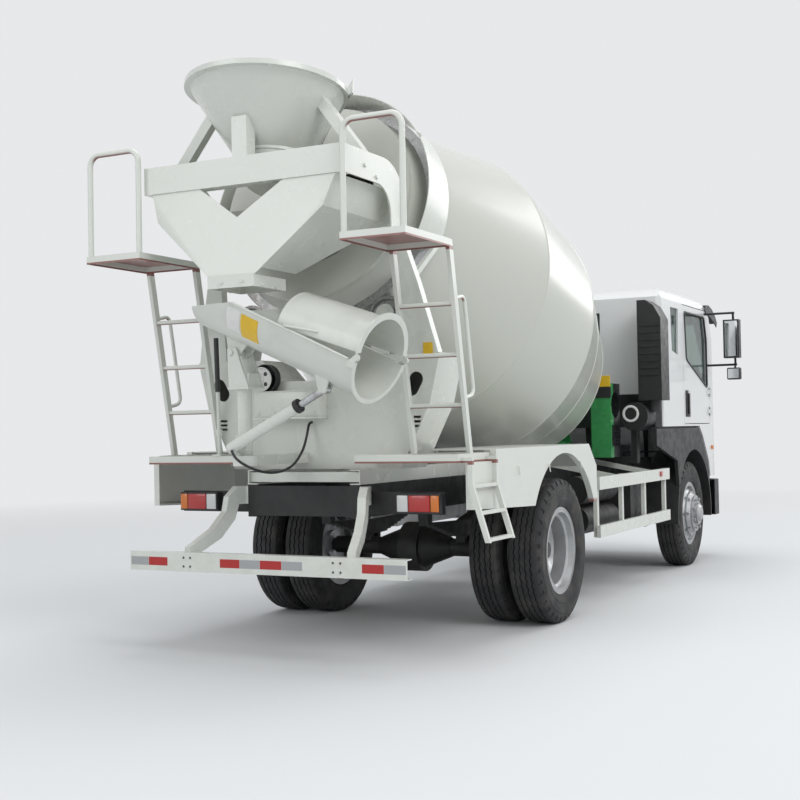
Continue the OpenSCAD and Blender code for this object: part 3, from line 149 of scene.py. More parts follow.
scene = bpy.context.scene
scene.view_settings.view_transform = "Standard"
studio = bpy.data.worlds.new("studio")
studio.use_nodes = True
scene.world = studio
studio_tree = studio.node_tree
sky = studio_tree.nodes["Background"]
sky.inputs["Color"].default_value = (0.84, 0.87, 0.90, 1)
sky.inputs["Strength"].default_value = 0.62
lay_backdrop(studio_tree, in_view(studio_tree), sky, studio_tree.nodes.new("ShaderNodeBackground"),
             studio_tree.nodes["World Output"])
lit_place = Vector((0, 0, 1.5))
for lamp_name, lamp_place, lamp_size, lamp_power in (
    ("key_lamp", (-8, -13, 13), 9, 1350),
    ("fill_lamp", (-15, 6, 8), 8, 450),
    ("top_lamp", (1, 0, 15), 10, 900),
    ("front_lamp", (14, -6, 8), 8, 500),
):
    lamp = bpy.data.lights.new(lamp_name, "AREA")
    lamp.size = lamp_size
    lamp.energy = lamp_power
    lamp_stand = bpy.data.objects.new(lamp_name, lamp)
    lamp_stand.location = lamp_place
    lamp_stand.rotation_mode = "QUATERNION"
    beam = lit_place - Vector(lamp_place)
    lamp_stand.rotation_quaternion = beam.to_track_quat("-Z", "Y")
    scene.collection.objects.link(lamp_stand)

camera_place = Vector((-9.4554, -4.0974, 1.3243))
camera_yaw = 0.47482
camera_pitch = 0.02326
camera_roll = -0.01824
ahead = Vector((
    math.cos(camera_yaw) * math.cos(camera_pitch),
    math.sin(camera_yaw) * math.cos(camera_pitch),
    math.sin(camera_pitch),
))
level = ahead.cross(Vector((0, 0, 1))).normalized()
upward = level.cross(ahead)
to_right = math.cos(camera_roll) * level + math.sin(camera_roll) * upward
to_top = math.cos(camera_roll) * upward - math.sin(camera_roll) * level
camera_lens = bpy.data.cameras.new("camera")
camera_lens.sensor_width = 36
camera_lens.lens = 57.414
camera = bpy.data.objects.new("camera", camera_lens)
camera.matrix_world = Matrix((
    (to_right.x, to_top.x, -ahead.x, camera_place.x),
    (to_right.y, to_top.y, -ahead.y, camera_place.y),
    (to_right.z, to_top.z, -ahead.z, camera_place.z),
    (0, 0, 0, 1),
))
scene.collection.objects.link(camera)
scene.camera = camera

# The lift cylinder's hydraulic hose: black wire-braided rubber 16 mm thick. It
# comes out of the pedestal under the pump's shelf, hangs in one slack loop
# beside the swivel arm and is screwed into the barrel's foot.
rear_axle_x = -1.25233


def at(x, y, z):
    """A place given from the rear axle, in metres."""
    return Vector((x + rear_axle_x, y, z))


def object_mask(finish, kind, settings, low, high, stretch=(1, 1, 1)):
    """A texture on the piece's own coordinates, spread to run from 0 at low to 1 at high."""
    tree = finish.node_tree
    place = tree.nodes.new("ShaderNodeTexCoord")
    turn = tree.nodes.new("ShaderNodeMapping")
    turn.inputs["Scale"].default_value = stretch
    texture = tree.nodes.new(kind)
    for socket, value in settings.items():
        texture.inputs[socket].default_value = value
    tree.links.new(place.outputs["Object"], turn.inputs["Vector"])
    tree.links.new(turn.outputs["Vector"], texture.inputs["Vector"])
    return spread_out(tree, texture.outputs[0], low, high)


def grain_of(finish, scale, low=0.4, high=0.7, stretch=(1, 1, 1), detail=4.0):
    settings = {"Scale": scale, "Detail": detail}
    return object_mask(finish, "ShaderNodeTexNoise", settings, low, high, stretch)


def emboss(finish, height, depth):
    """Raises the surface by depth where the mask is white, over what is raised already."""
    tree = finish.node_tree
    bump = tree.nodes.new("ShaderNodeBump")
    bump.inputs["Strength"].default_value = 1.0
    bump.inputs["Distance"].default_value = depth
    normal = tree.nodes["Principled BSDF"].inputs["Normal"]
    if normal.is_linked:
        tree.links.new(normal.links[0].from_socket, bump.inputs["Normal"])
    tree.links.new(height, bump.inputs["Height"])
    tree.links.new(bump.outputs["Normal"], normal)


def vary_gloss(finish, mask, low, high):
    tree = finish.node_tree
    gloss = spread_out(tree, mask, 0.0, 1.0, low, high)
    tree.links.new(gloss, tree.nodes["Principled BSDF"].inputs["Roughness"])


def drawn_line(name, points, radius, fineness):
    """A round bar, tube or hose along the points, put into the scene as a curve."""
    line = bpy.data.curves.new(name, "CURVE")
    line.dimensions = "3D"
    line.bevel_depth = radius
    line.bevel_resolution = fineness
    spline = line.splines.new("POLY")
    spline.points.add(len(points) - 1)
    for knot, place in zip(spline.points, points):
        knot.co = (*place, 1)
    piece = bpy.data.objects.new(name, line)
    scene.collection.objects.link(piece)
    return piece


hose_rubber = new_finish("hose_rubber", (0.022, 0.022, 0.024), 0.42)
emboss(hose_rubber, grain_of(hose_rubber, 380), 0.0006)
vary_gloss(hose_rubber, grain_of(hose_rubber, 40), 0.34, 0.55)
hose_r = 0.008
hose_knots = [
    at(-1.402, 0.018, 1.380), at(-1.436, 0.018, 1.366), at(-1.466, 0.016, 1.300), at(-1.522, 0.012, 1.212),
    at(-1.620, 0.008, 1.135), at(-1.730, 0.006, 1.098), at(-1.850, 0.004, 1.086), at(-1.960, 0.006, 1.092),
    at(-2.050, 0.020, 1.112), at(-2.106, 0.055, 1.144), at(-2.128, 0.092, 1.180), at(-2.130, 0.118, 1.222),
]
hose_points = []
for i in range(len(hose_knots) - 1):
    a = hose_knots[max(i - 1, 0)]
    b = hose_knots[i]
    c = hose_knots[i + 1]
    d = hose_knots[min(i + 2, len(hose_knots) - 1)]
    for t in (0.0, 0.34, 0.67):
        hose_points.append(0.5 * (2 * b + (c - a) * t + (2 * a - 5 * b + 4 * c - d) * t * t
                                  + (3 * b - a - 3 * c + d) * t * t * t))
hose_points.append(hose_knots[-1])
lift_hose = drawn_line("lift_hose", hose_points, hose_r, 4)
lift_hose.data.materials.append(hose_rubber)
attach(lift_hose, "root")


# The chassis: pressed steel rails and crossmembers, axles, springs, shafts,
# brackets and air tanks, sprayed satin black in one go and dusty from the road
# on what faces up and low down.
def coat(finish, colour, mask, strength=1.0):
    """Lays a colour over the finish where the mask is white."""
    tree = finish.node_tree
    base = tree.nodes["Principled BSDF"].inputs["Base Color"]
    mix = tree.nodes.new("ShaderNodeMix")
    mix.data_type = "RGBA"
    mix.inputs["A"].default_value = base.default_value
    if base.is_linked:
        tree.links.new(base.links[0].from_socket, mix.inputs["A"])
    mix.inputs["B"].default_value = (*colour, 1)
    share = spread_out(tree, mask, 0.0, 1.0, 0.0, strength)
    tree.links.new(share, mix.inputs["Factor"])
    tree.links.new(mix.outputs["Result"], base)


def part_of(finish, kind, axis, start, end):
    """A mask that goes from 0 at start to 1 at end along one axis of a coordinate."""
    tree = finish.node_tree
    place = tree.nodes.new("ShaderNodeTexCoord")
    split = tree.nodes.new("ShaderNodeSeparateXYZ")
    tree.links.new(place.outputs[kind], split.inputs[0])
    return spread_out(tree, split.outputs[axis], start, end)


def facing_up(finish, low=0.5, high=0.95):
    """A mask that is white on surfaces that look up, or down where low and high are negative."""
    return part_of(finish, "Normal", "Z", low, high)


def rise(finish, axis, start, end):
    """A mask that goes from 0 at start to 1 at end along one axis, in metres."""
    return part_of(finish, "Object", axis, start, end)


def both(finish, first, second):
    return product_of(finish.node_tree, first, second)


def dress(node, finish):
    """Gives a CAD node its finish."""
    slots = nodes[node].data.materials
    slots.clear()
    slots.append(finish)


chassis_black = new_finish("chassis_black", (0.012, 0.012, 0.013), 0.5)
up_dust = both(chassis_black, facing_up(chassis_black), grain_of(chassis_black, 5))
coat(chassis_black, (0.07, 0.065, 0.055), up_dust, 0.4)
low_dust = both(chassis_black, rise(chassis_black, "Z", 1.0, 0.35), grain_of(chassis_black, 9))
coat(chassis_black, (0.06, 0.055, 0.048), low_dust, 0.3)
emboss(chassis_black, grain_of(chassis_black, 160), 0.0007)
vary_gloss(chassis_black, grain_of(chassis_black, 14), 0.44, 0.62)
for node in ("chassis_frame", "rear_axle", "front_axle", "leaf_springs", "air_tanks", "knuckle_right",
             "knuckle_left", "front_mudguards"):
    dress(node, chassis_black)

# Propeller shaft: drawn steel tube and forged yokes, painted black and worn
# to a dull brown by stones and grease.
shaft_steel = new_finish("shaft_steel", (0.05, 0.045, 0.042), 0.5, 0.6)
coat(shaft_steel, (0.13, 0.075, 0.045), grain_of(shaft_steel, 26, 0.5, 0.75), 0.6)
emboss(shaft_steel, grain_of(shaft_steel, 120), 0.0006)
dress("prop_shaft", shaft_steel)

# Engine and gearbox: one cast block, painted iron grey, with oil film and
# dust in its pores.
engine_iron = new_finish("engine_iron", (0.13, 0.14, 0.15), 0.55, 0.25)
coat(engine_iron, (0.05, 0.045, 0.04), grain_of(engine_iron, 6, 0.45, 0.7), 0.7)
emboss(engine_iron, grain_of(engine_iron, 95, 0.3, 0.8), 0.0025)
dress("engine", engine_iron)


# Tyres: road tyres of 974 mm with five zigzag ribs and notched shoulders,
# moulded in black rubber. The twin pair of one side is one piece, as the two
# turn together.
def take(piece):
    """Leaves this one piece selected and active."""
    deselect()
    piece.select_set(True)
    bpy.context.view_layer.objects.active = piece


def settle(piece, finish, body, smooth=None):
    """Puts the piece's place into its mesh, gives it its finish and lets it ride on its body.

    Where smooth is given, edges flatter than that many degrees are shaded smooth.
    """
    take(piece)
    if smooth is not None:
        bpy.ops.object.shade_smooth_by_angle(angle=math.radians(smooth))
    bpy.ops.object.transform_apply(location=True, rotation=True, scale=True)
    piece.data.materials.clear()
    piece.data.materials.append(finish)
    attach(piece, body)


def joined(name, pieces):
    deselect()
    for piece in pieces:
        piece.select_set(True)
    bpy.context.view_layer.objects.active = pieces[0]
    if len(pieces) > 1:
        bpy.ops.object.join()
    pieces[0].name = name
    pieces[0].data.name = name
    return pieces[0]


def edit_all():
    """Opens the active piece for editing, all of it selected."""
    bpy.ops.object.mode_set(mode="EDIT")
    bpy.ops.mesh.select_all(action="SELECT")


def turn_outwards():
    """Turns all faces of the closed piece outwards and ends its editing."""
    bpy.ops.mesh.select_all(action="SELECT")
    bpy.ops.mesh.normals_make_consistent(inside=False)
    bpy.ops.object.mode_set(mode="OBJECT")


def turned(name, outline, steps, centre=(0, 0, 0), axle=(0, 0, 1)):
    """A closed outline of (radius, place along the axle), turned all round the axle."""
    deselect()
    bpy.ops.mesh.primitive_circle_add(vertices=len(outline), radius=0.1)
    piece = bpy.context.object
    for corner, (radius, along) in zip(piece.data.vertices, outline):
        corner.co = (radius, 0, along)
    edit_all()
    bpy.ops.mesh.spin(steps=steps, angle=2 * math.pi, center=(0, 0, 0), axis=(0, 0, 1))
    bpy.ops.mesh.select_all(action="SELECT")
    bpy.ops.mesh.remove_doubles(threshold=0.00002)
    turn_outwards()
    piece.rotation_mode = "QUATERNION"
    piece.rotation_quaternion = Vector((0, 0, 1)).rotation_difference(Vector(axle))
    piece.location = centre
    piece.name = name
    piece.data.name = name
    bpy.ops.object.transform_apply(location=True, rotation=True, scale=True)
    return piece


tyre_rubber = new_finish("tyre_rubber", (0.020, 0.020, 0.021), 0.72)
coat(tyre_rubber, (0.085, 0.078, 0.068), grain_of(tyre_rubber, 7, 0.46, 0.72), 0.5)
emboss(tyre_rubber, grain_of(tyre_rubber, 210), 0.0008)
vary_gloss(tyre_rubber, grain_of(tyre_rubber, 11), 0.62, 0.85)
wheelbase = 3.8
tyre_r = 0.487
tyre_half_w = 0.1175
bead_r = 0.290
rim_half_w = 0.092
groove_w = 0.009
groove_depth = 0.013
groove_places = (-0.056, -0.019, 0.019, 0.056)
zigzag = 0.0045
zigzag_half_w = 0.064
notch_sides = (0.0955, 0.1095)
notch_from_r = 0.449
notch_rim = 0.0015
notch_depth = 0.006
steps_per_notch = 3
tread_steps = 108
side_outline = [
    (bead_r - 0.020, rim_half_w - 0.013), (bead_r + 0.0045, rim_half_w - 0.008),
    (bead_r + 0.0045, rim_half_w + 0.002), (bead_r + 0.016, rim_half_w + 0.0125),
    (bead_r + 0.019, rim_half_w + 0.0105), (bead_r + 0.040, tyre_half_w - 0.006),
    (bead_r + 0.062, tyre_half_w - 0.002), (bead_r + 0.066, tyre_half_w - 0.004),
    (0.3885, tyre_half_w), (0.420, tyre_half_w - 0.001), (0.424, tyre_half_w - 0.004),
    (0.447, tyre_half_w - 0.008), (0.466, tyre_half_w - 0.015), (0.479, tyre_half_w - 0.022),
    (0.4845, tyre_half_w - 0.032), (tyre_r, tyre_half_w - 0.041),
]
tread_outline = []
for place in reversed(groove_places):
    for across, depth in ((1.0, 0), (0.55, 1), (-0.55, 1), (-1.0, 0)):
        tread_outline.append((tyre_r - depth * groove_depth, place + across * groove_w / 2))
tyre_outline = side_outline + tread_outline + [(r, -y) for r, y in reversed(side_outline)]
tyre_outline += [(bead_r - 0.020, 0.030 - rim_half_w), (bead_r - 0.020, rim_half_w - 0.030)]
model_tyre = turned("model_tyre", tyre_outline, tread_steps, axle=(0, 1, 0))


def tread_step(spot):
    """How many steps of the tread lie between the tyre's start and this spot."""
    return math.atan2(spot.z, spot.x) / (2 * math.pi) * tread_steps


for corner in model_tyre.data.vertices:
    radius = math.hypot(corner.co.x, corner.co.z)
    if radius > tyre_r - groove_depth - 0.001 and abs(corner.co.y) < zigzag_half_w:
        corner.co.y += zigzag if round(tread_step(corner.co)) % 2 else -zigzag
take(model_tyre)
bpy.ops.object.mode_set(mode="EDIT")
bpy.ops.mesh.select_all(action="DESELECT")
bpy.ops.object.mode_set(mode="OBJECT")
for face in model_tyre.data.polygons:
    middle = face.center
    on_side = notch_sides[0] < abs(middle.y) < notch_sides[1]
    at_shoulder = on_side and math.hypot(middle.x, middle.z) > notch_from_r
    face.select = at_shoulder and math.floor(tread_step(middle)) % steps_per_notch == 0
bpy.ops.object.mode_set(mode="EDIT")
bpy.ops.mesh.inset(thickness=notch_rim, depth=-notch_depth)
bpy.ops.object.mode_set(mode="OBJECT")


def tyre_at(x, y, outer_side):
    """A copy of the tyre with its own mesh, its outer side to +y or -y."""
    copy = model_tyre.copy()
    copy.data = model_tyre.data.copy()
    scene.collection.objects.link(copy)
    copy.location = at(x, y, tyre_r)
    copy.rotation_euler = (0, 0, 0 if outer_side > 0 else math.pi)
    return copy


# Columns: wheel, place along the truck, its tyres' places across, outer side.
for wheel, x, places, outer_side in (
    ("fr", wheelbase, (-0.895,), -1), ("fl", wheelbase, (0.895,), 1),
    ("rr", 0.0, (-0.995, -0.715), -1), ("rl", 0.0, (0.715, 0.995), 1),
):
    tyre = joined("road_tyre_" + wheel, [tyre_at(x, y, outer_side) for y in places])
    settle(tyre, tyre_rubber, "wheel_" + wheel, smooth=24)
    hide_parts("tyre_" + wheel)
bpy.data.objects.remove(model_tyre)

# Wheels: pressed steel discs and rims in silver wheel paint, with road dust
# in the dish, on hubs closed by cast covers that eight bolts hold.
rim_silver = new_finish("rim_silver", (0.46, 0.47, 0.48), 0.32, 0.65)
coat(rim_silver, (0.20, 0.185, 0.165), grain_of(rim_silver, 8, 0.45, 0.75), 0.4)
coat(rim_silver, (0.14, 0.06, 0.03), grain_of(rim_silver, 60, 0.66, 0.78), 0.5)
emboss(rim_silver, grain_of(rim_silver, 150), 0.0006)
vary_gloss(rim_silver, grain_of(rim_silver, 18), 0.3, 0.58)
for wheel in ("fr", "fl", "rr", "rl"):
    dress("rim_" + wheel, rim_silver)
hub_iron = new_finish("hub_iron", (0.10, 0.10, 0.105), 0.5, 0.5)
coat(hub_iron, (0.13, 0.07, 0.04), grain_of(hub_iron, 30, 0.5, 0.74), 0.6)
emboss(hub_iron, grain_of(hub_iron, 110), 0.0008)
cover_outline = [(0.0, 0.0), (0.052, 0.0), (0.056, 0.006), (0.052, 0.012), (0.030, 0.017), (0.0, 0.018)]
cover_bolt_outline = [(0.0, 0.0), (0.006, 0.0), (0.006, 0.004), (0.0045, 0.0055), (0.0, 0.0055)]
cover_bolt_r = 0.042
cover_bolts = 8
for wheel, x, y, outer_side in (
    ("fr", wheelbase, 1.083, -1), ("fl", wheelbase, 1.083, 1), ("rr", 0, 0.984, -1), ("rl", 0, 0.984, 1),
):
    out = Vector((0, outer_side, 0))
    cover_place = at(x, outer_side * y, tyre_r)
    cover = [turned("hub_cover", cover_outline, 40, cover_place, out)]
    for k in range(cover_bolts):
        angle = k * 2 * math.pi / cover_bolts
        spot = cover_place + 0.010 * out + cover_bolt_r * Vector((math.cos(angle), 0, math.sin(angle)))
        cover.append(turned("cover_bolt", cover_bolt_outline, 6, spot, out))
    cover = joined("hub_cap_" + wheel, cover)
    settle(cover, hub_iron, "wheel_" + wheel, smooth=30)

# Fuel tank: folded aluminium sheet, brushed along its length, held by two
# steel straps, with a black filler cap.
tank_aluminium = new_finish("tank_aluminium", (0.56, 0.57, 0.58), 0.34, 0.9)
brushed = (0.4, 14, 14)
emboss(tank_aluminium, grain_of(tank_aluminium, 60, 0.3, 0.7, brushed), 0.0004)
coat(tank_aluminium, (0.24, 0.22, 0.19), grain_of(tank_aluminium, 5, 0.5, 0.75), 0.5)
vary_gloss(tank_aluminium, grain_of(tank_aluminium, 40, 0.3, 0.7, brushed), 0.26, 0.5)
dress("fuel_tank", tank_aluminium)
black_plastic = new_finish("black_plastic", (0.012, 0.012, 0.013), 0.5)
emboss(black_plastic, grain_of(black_plastic, 420, 0.35, 0.7), 0.0005)
plastic_dust = both(black_plastic, facing_up(black_plastic, 0.6), grain_of(black_plastic, 6))
coat(black_plastic, (0.07, 0.065, 0.058), plastic_dust, 0.3)
vary_gloss(black_plastic, grain_of(black_plastic, 16), 0.42, 0.6)
cap_outline = [
    (0.0, 0.0), (0.041, 0.0), (0.041, 0.010), (0.046, 0.012), (0.046, 0.030), (0.041, 0.034), (0.0, 0.034),
]
tank_cap = turned("tank_cap", cap_outline, 48, at(1.3, 0.9, 0.9905))
settle(tank_cap, black_plastic, "root", smooth=30)

# Exhaust: an aluminised steel silencer and tail pipe, straw and brown from
# heat towards the engine, and rusty in patches.
exhaust_steel = new_finish("exhaust_steel", (0.33, 0.32, 0.30), 0.45, 0.8)
coat(exhaust_steel, (0.17, 0.09, 0.05), grain_of(exhaust_steel, 16, 0.48, 0.7), 0.7)
coat(exhaust_steel, (0.28, 0.20, 0.10), rise(exhaust_steel, "X", 1.3, 1.75), 0.5)
emboss(exhaust_steel, grain_of(exhaust_steel, 120), 0.0006)
dress("exhaust", exhaust_steel)


# Mixer rails, rear pedestal and side guards: welded steel sheet and tube in an
# off-white gloss enamel with a faint green cast. The sprayed coat has orange
# peel, the sheet is a little wavy, and rain has left dull streaks.
def white_enamel(name, colour, gloss=0.24):
    finish = new_finish(name, colour, gloss, Coat_Weight=0.3, Coat_Roughness=0.12)
    dusty = both(finish, facing_up(finish, 0.35, 0.95), grain_of(finish, 4, 0.35, 0.7))
    coat(finish, (0.46, 0.45, 0.40), dusty, 0.12)
    coat(finish, (0.52, 0.52, 0.48), grain_of(finish, 3, 0.45, 0.95, (1, 1, 0.3)), 0.06)
    coat(finish, (0.42, 0.40, 0.35), both(finish, rise(finish, "Z", 1.3, 0.5), grain_of(finish, 12)), 0.22)
    emboss(finish, grain_of(finish, 240, 0.3, 0.7), 0.00025)
    emboss(finish, grain_of(finish, 1.6, 0.2, 0.8, detail=0.0), 0.0015)
    vary_gloss(finish, grain_of(finish, 5, 0.3, 0.8), gloss, gloss + 0.07)
    return finish


enamel_colour = (0.66, 0.68, 0.63)
mixer_white = white_enamel("mixer_white", enamel_colour)
for node in ("subframe", "rear_pedestal", "side_guards"):
    dress(node, mixer_white)


# The pump's shelf on the pedestal: a closed box of folded sheet, welded to the
# rear plate, with a flange along its foot and four bolts above that.
def block(name, low, high, edge=0.003):
    """A bar or plate between two corners, with its edges rounded."""
    deselect()
    low = Vector(low)
    high = Vector(high)
    bpy.ops.mesh.primitive_cube_add(size=1, location=(low + high) / 2)
    piece = bpy.context.object
    piece.scale = high - low
    bpy.ops.object.transform_apply(location=True, rotation=True, scale=True)
    rounding = piece.modifiers.new("edges", "BEVEL")
    rounding.width = edge
    rounding.segments = 2
    bpy.ops.object.modifier_apply(modifier="edges")
    piece.name = name
    piece.data.name = name
    return piece


def hex_bolt(place, facing, size=0.010):
    """A hexagon head on its washer, its underside at the place, facing outwards."""
    washer_r = size * 1.25
    washer_top = size * 0.22
    head_top = size * 0.95
    washer = [(0.0, 0.0), (washer_r, 0.0), (washer_r, washer_top), (0.0, washer_top)]
    head = [
        (0.0, washer_top), (size, washer_top), (size, size * 0.8), (size * 0.82, head_top), (0.0, head_top),
    ]
    return joined("hex_bolt", [
        turned("washer", washer, 16, place, facing),
        turned("head", head, 6, place, facing),
    ])


pump_shelf = joined("pump_shelf", [
    block("shelf_box", at(-1.500, -0.096, 1.412), at(-1.3985, 0.380, 1.574), 0.006),
    block("shelf_foot", at(-1.515, -0.100, 1.402), at(-1.3985, 0.384, 1.414), 0.003),
    block("shelf_lid", at(-1.506, -0.100, 1.572), at(-1.3985, 0.384, 1.578), 0.002),
] + [hex_bolt(at(-1.5005, y, 1.440), (-1, 0, 0), 0.008) for y in (-0.06, 0.085, 0.23, 0.345)])
settle(pump_shelf, mixer_white, "root", smooth=30)

# The hand pump's coupling: a pressed white disc on a short shaft, and a black
# sheet guard round the shaft. The guard shows through the disc's four
# lightening holes, which are drawn as dark discs of the guard's piece.
disc_place = at(-1.478, 0.334, 1.656)
disc_white = white_enamel("disc_white", (0.62, 0.62, 0.60), 0.34)
disc_outline = [
    (0.0, 0.0), (0.074, 0.0), (0.077, 0.004), (0.077, 0.010), (0.070, 0.010), (0.066, 0.005),
    (0.024, 0.005), (0.020, 0.012), (0.0, 0.012),
]
shaft_outline = [(0.0, 0.0), (0.014, 0.0), (0.014, 0.078), (0.0, 0.078)]
coupling = joined("pump_coupling", [
    turned("coupling_disc", disc_outline, 48, disc_place, (-1, 0, 0)),
    turned("coupling_shaft", shaft_outline, 20, disc_place, (1, 0, 0)),
])
settle(coupling, disc_white, "root", smooth=30)
dark_paint = new_finish("dark_paint", (0.018, 0.018, 0.02), 0.45)
emboss(dark_paint, grain_of(dark_paint, 180), 0.0005)
vary_gloss(dark_paint, grain_of(dark_paint, 20), 0.36, 0.58)
hole_outline = [(0.0, 0.0), (0.0135, 0.0), (0.0135, 0.0014), (0.0105, 0.0020), (0.0, 0.0012)]
hole_circle_r = 0.045
guard_outline = [(0.086, 0.0), (0.090, 0.0), (0.090, 0.052), (0.0, 0.052), (0.0, 0.048), (0.086, 0.048)]
guard_place = disc_place + Vector((0.008, -0.014, 0.004))
coupling_guard = [turned("coupling_guard", guard_outline, 48, guard_place, (1, 0, 0))]
for quarter in range(4):
    angle = math.pi / 4 + quarter * math.pi / 2
    spot = Vector((-0.0042, hole_circle_r * math.cos(angle), hole_circle_r * math.sin(angle)))
    coupling_guard.append(turned("disc_hole", hole_outline, 20, disc_place + spot, (-1, 0, 0)))
coupling_guard = joined("coupling_guard", coupling_guard)
settle(coupling_guard, dark_paint, "root", smooth=30)


# The discharge control: a hand lever on the left lower platform, with a black
# rubber sleeve over its upper half and a clamp below that.
def rod(name, points, radius, sides=12):
    """A bent round bar or tube along the points, its ends closed."""
    piece = drawn_line(name, points, radius, sides // 4)
    piece.data.use_fill_caps = True
    take(piece)
    bpy.ops.object.convert(target="MESH")
    return bpy.context.object


lever_foot = at(-1.620, 0.560, 1.1805)
lever_bend = lever_foot + Vector((-0.004, 0.004, 0.38))
lever_tip = lever_foot + Vector((-0.008, 0.010, 0.715))
clamp_outline = [(0.010, -0.02), (0.021, -0.02), (0.021, 0.02), (0.010, 0.02)]
lever = joined("control_lever", [
    rod("lever_bar", [lever_foot, lever_bend, lever_tip], 0.012),
    block("lever_foot", lever_foot - Vector((0.040, 0.030, 0)), lever_foot + Vector((0.040, 0.030, 0.010))),
    turned("lever_clamp", clamp_outline, 24, lever_foot + Vector((-0.001, 0.001, 0.145))),
])
settle(lever, mixer_white, "root", smooth=30)
sleeve_low_end = lever_foot + Vector((-0.0045, 0.0045, 0.40))
sleeve_top_end = lever_foot + Vector((-0.0085, 0.0105, 0.738))
sleeve = rod("lever_sleeve", [sleeve_low_end, sleeve_top_end], 0.0155, 16)
settle(sleeve, hose_rubber, "root", smooth=50)

# Drum: rolled steel plates welded at their seams, then filled, sprayed white
# and polished. Each seam shows as a narrow raised bead, and the mouth has a
# turned collar.
drum_tilt = math.radians(16.3)
drum_back = Vector((-math.cos(drum_tilt), 0, math.sin(drum_tilt)))
drum_middle = at(0.465, 0, 2.229)
drum_r = 1.040
drum_wall = 0.008
tail_start = 0.480
seam_places = (-1.610, -1.460, -0.941, -0.480, tail_start, 1.880)
seam_radii = (0.550, 0.796, 0.925, drum_r, drum_r, 0.634)
bead_w = 0.011
bead_h = 0.0035


def with_beads(radii, places):
    """The shell's outline with a weld bead laid over each seam between two plates."""
    outline = [(radii[0], places[0])]
    for k in range(1, len(radii) - 1):
        slope_in = (radii[k] - radii[k - 1]) / (places[k] - places[k - 1])
        slope_out = (radii[k + 1] - radii[k]) / (places[k + 1] - places[k])
        for across, height in ((-1, 0), (-0.5, 0.8), (0, 1), (0.5, 0.8), (1, 0)):
            slope = slope_in if across < 0 else slope_out
            radius = radii[k] + across * bead_w * slope + height * bead_h
            outline.append((radius, places[k] + across * bead_w))
    outline.append((radii[-1], places[-1]))
    return outline


outer_skin = with_beads(seam_radii, seam_places)
inner_skin = [(r - drum_wall, s) for r, s in zip(seam_radii, seam_places)]
collar = [(0.652, 1.850), (0.652, 1.880), (0.410, 1.880), (0.410, 1.870), (0.618, 1.866)]
drum_outline = [(0.0, seam_places[0])] + outer_skin[:-1] + [(0.6427, 1.850)] + collar
drum_outline += list(reversed(inner_skin))[1:-1] + [(seam_radii[0] - drum_wall, seam_places[0] + drum_wall)]
drum_outline += [(0.0, seam_places[0] + drum_wall)]
flange_front = -1.650
flange_outline = [
    (0.0, flange_front), (0.255, flange_front), (0.260, -1.645), (0.260, -1.6105), (0.0, -1.6105),
]
flange_bolt_r = 0.235
flange_bolts = 16
drum_side = Vector((0, 1, 0))
drum_over = drum_back.cross(drum_side)
mixing_drum = [
    turned("drum_shell", drum_outline, 128, drum_middle, drum_back),
    turned("drum_flange", flange_outline, 64, drum_middle, drum_back),
]
for k in range(flange_bolts):
    angle = k * 2 * math.pi / flange_bolts
    outward = math.cos(angle) * drum_side + math.sin(angle) * drum_over
    spot = drum_middle + flange_front * drum_back + flange_bolt_r * outward
    mixing_drum.append(hex_bolt(spot, -drum_back, 0.013))
mixing_drum = joined("mixing_drum", mixing_drum)
# The drum's enamel is a greyer, darker copy of the mixer's white: partly dust on the drum and partly
# painted shade, standing in for the shade the drum lies in.
drum_white_dust_and_painted_shade = white_enamel("drum_white_dust_and_painted_shade", (0.54, 0.555, 0.50), 0.20)
settle(mixing_drum, drum_white_dust_and_painted_shade, "drum", smooth=22)
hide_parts("drum")

# Two mixing spirals welded inside the shell's tail, of thick plate roughened
# by concrete. They show through the mouth from behind and above.
spiral_steel = new_finish("spiral_steel", (0.30, 0.29, 0.27), 0.6, 0.2)
coat(spiral_steel, (0.42, 0.40, 0.36), grain_of(spiral_steel, 7, 0.4, 0.7), 0.7)
emboss(spiral_steel, grain_of(spiral_steel, 60), 0.0018)
tail_taper = 0.29
blade_start = 0.55
blade_length = 1.78 - blade_start
blade_turn = 1.35 * math.pi
blade_foot_r = drum_r - tail_taper * (blade_start - tail_start) - 0.010
blade_rim_r = blade_foot_r - 0.26
blade_section = ((blade_foot_r, 0.0), (blade_rim_r, 0.03), (blade_foot_r, 0.006), (blade_rim_r, 0.036))
for start_turn, name in ((0.0, "mixing_spiral_a"), (math.pi, "mixing_spiral_b")):
    deselect()
    bpy.ops.mesh.primitive_plane_add(size=1)
    spiral = bpy.context.object
    for corner, (radius, along) in zip(spiral.data.vertices, blade_section):
        corner.co = (radius * math.cos(start_turn), radius * math.sin(start_turn), blade_start + along)
    edit_all()
    bpy.ops.mesh.spin(steps=40, angle=blade_turn, center=(0, 0, 0), axis=(0, 0, 1))
    turn_outwards()
    for corner in spiral.data.vertices:
        turn = (math.atan2(corner.co.y, corner.co.x) - start_turn) % (2 * math.pi)
        share = min(turn / blade_turn, 1.0) if turn < 1.9 * math.pi else 0.0
        forward = share * blade_length
        narrowing = (blade_foot_r - tail_taper * forward) / blade_foot_r
        corner.co.x *= narrowing
        corner.co.y *= narrowing
        corner.co.z += forward
    spiral.rotation_mode = "QUATERNION"
    spiral.rotation_quaternion = Vector((0, 0, 1)).rotation_difference(drum_back)
    spiral.location = drum_middle
    spiral.name = name
    settle(spiral, spiral_steel, "drum", smooth=40)

# Roller ring and its two rollers: turned steel, polished bright where they
# run on each other, with grease and rust on their flanks.
ring_steel = new_finish("ring_steel", (0.42, 0.42, 0.42), 0.34, 0.85)
coat(ring_steel, (0.16, 0.10, 0.065), grain_of(ring_steel, 9, 0.5, 0.8), 0.3)
emboss(ring_steel, grain_of(ring_steel, 90, 0.3, 0.7), 0.0004)
vary_gloss(ring_steel, grain_of(ring_steel, 30), 0.25, 0.5)
for node in ("drum_ring", "roller_right", "roller_left"):
    dress(node, ring_steel)

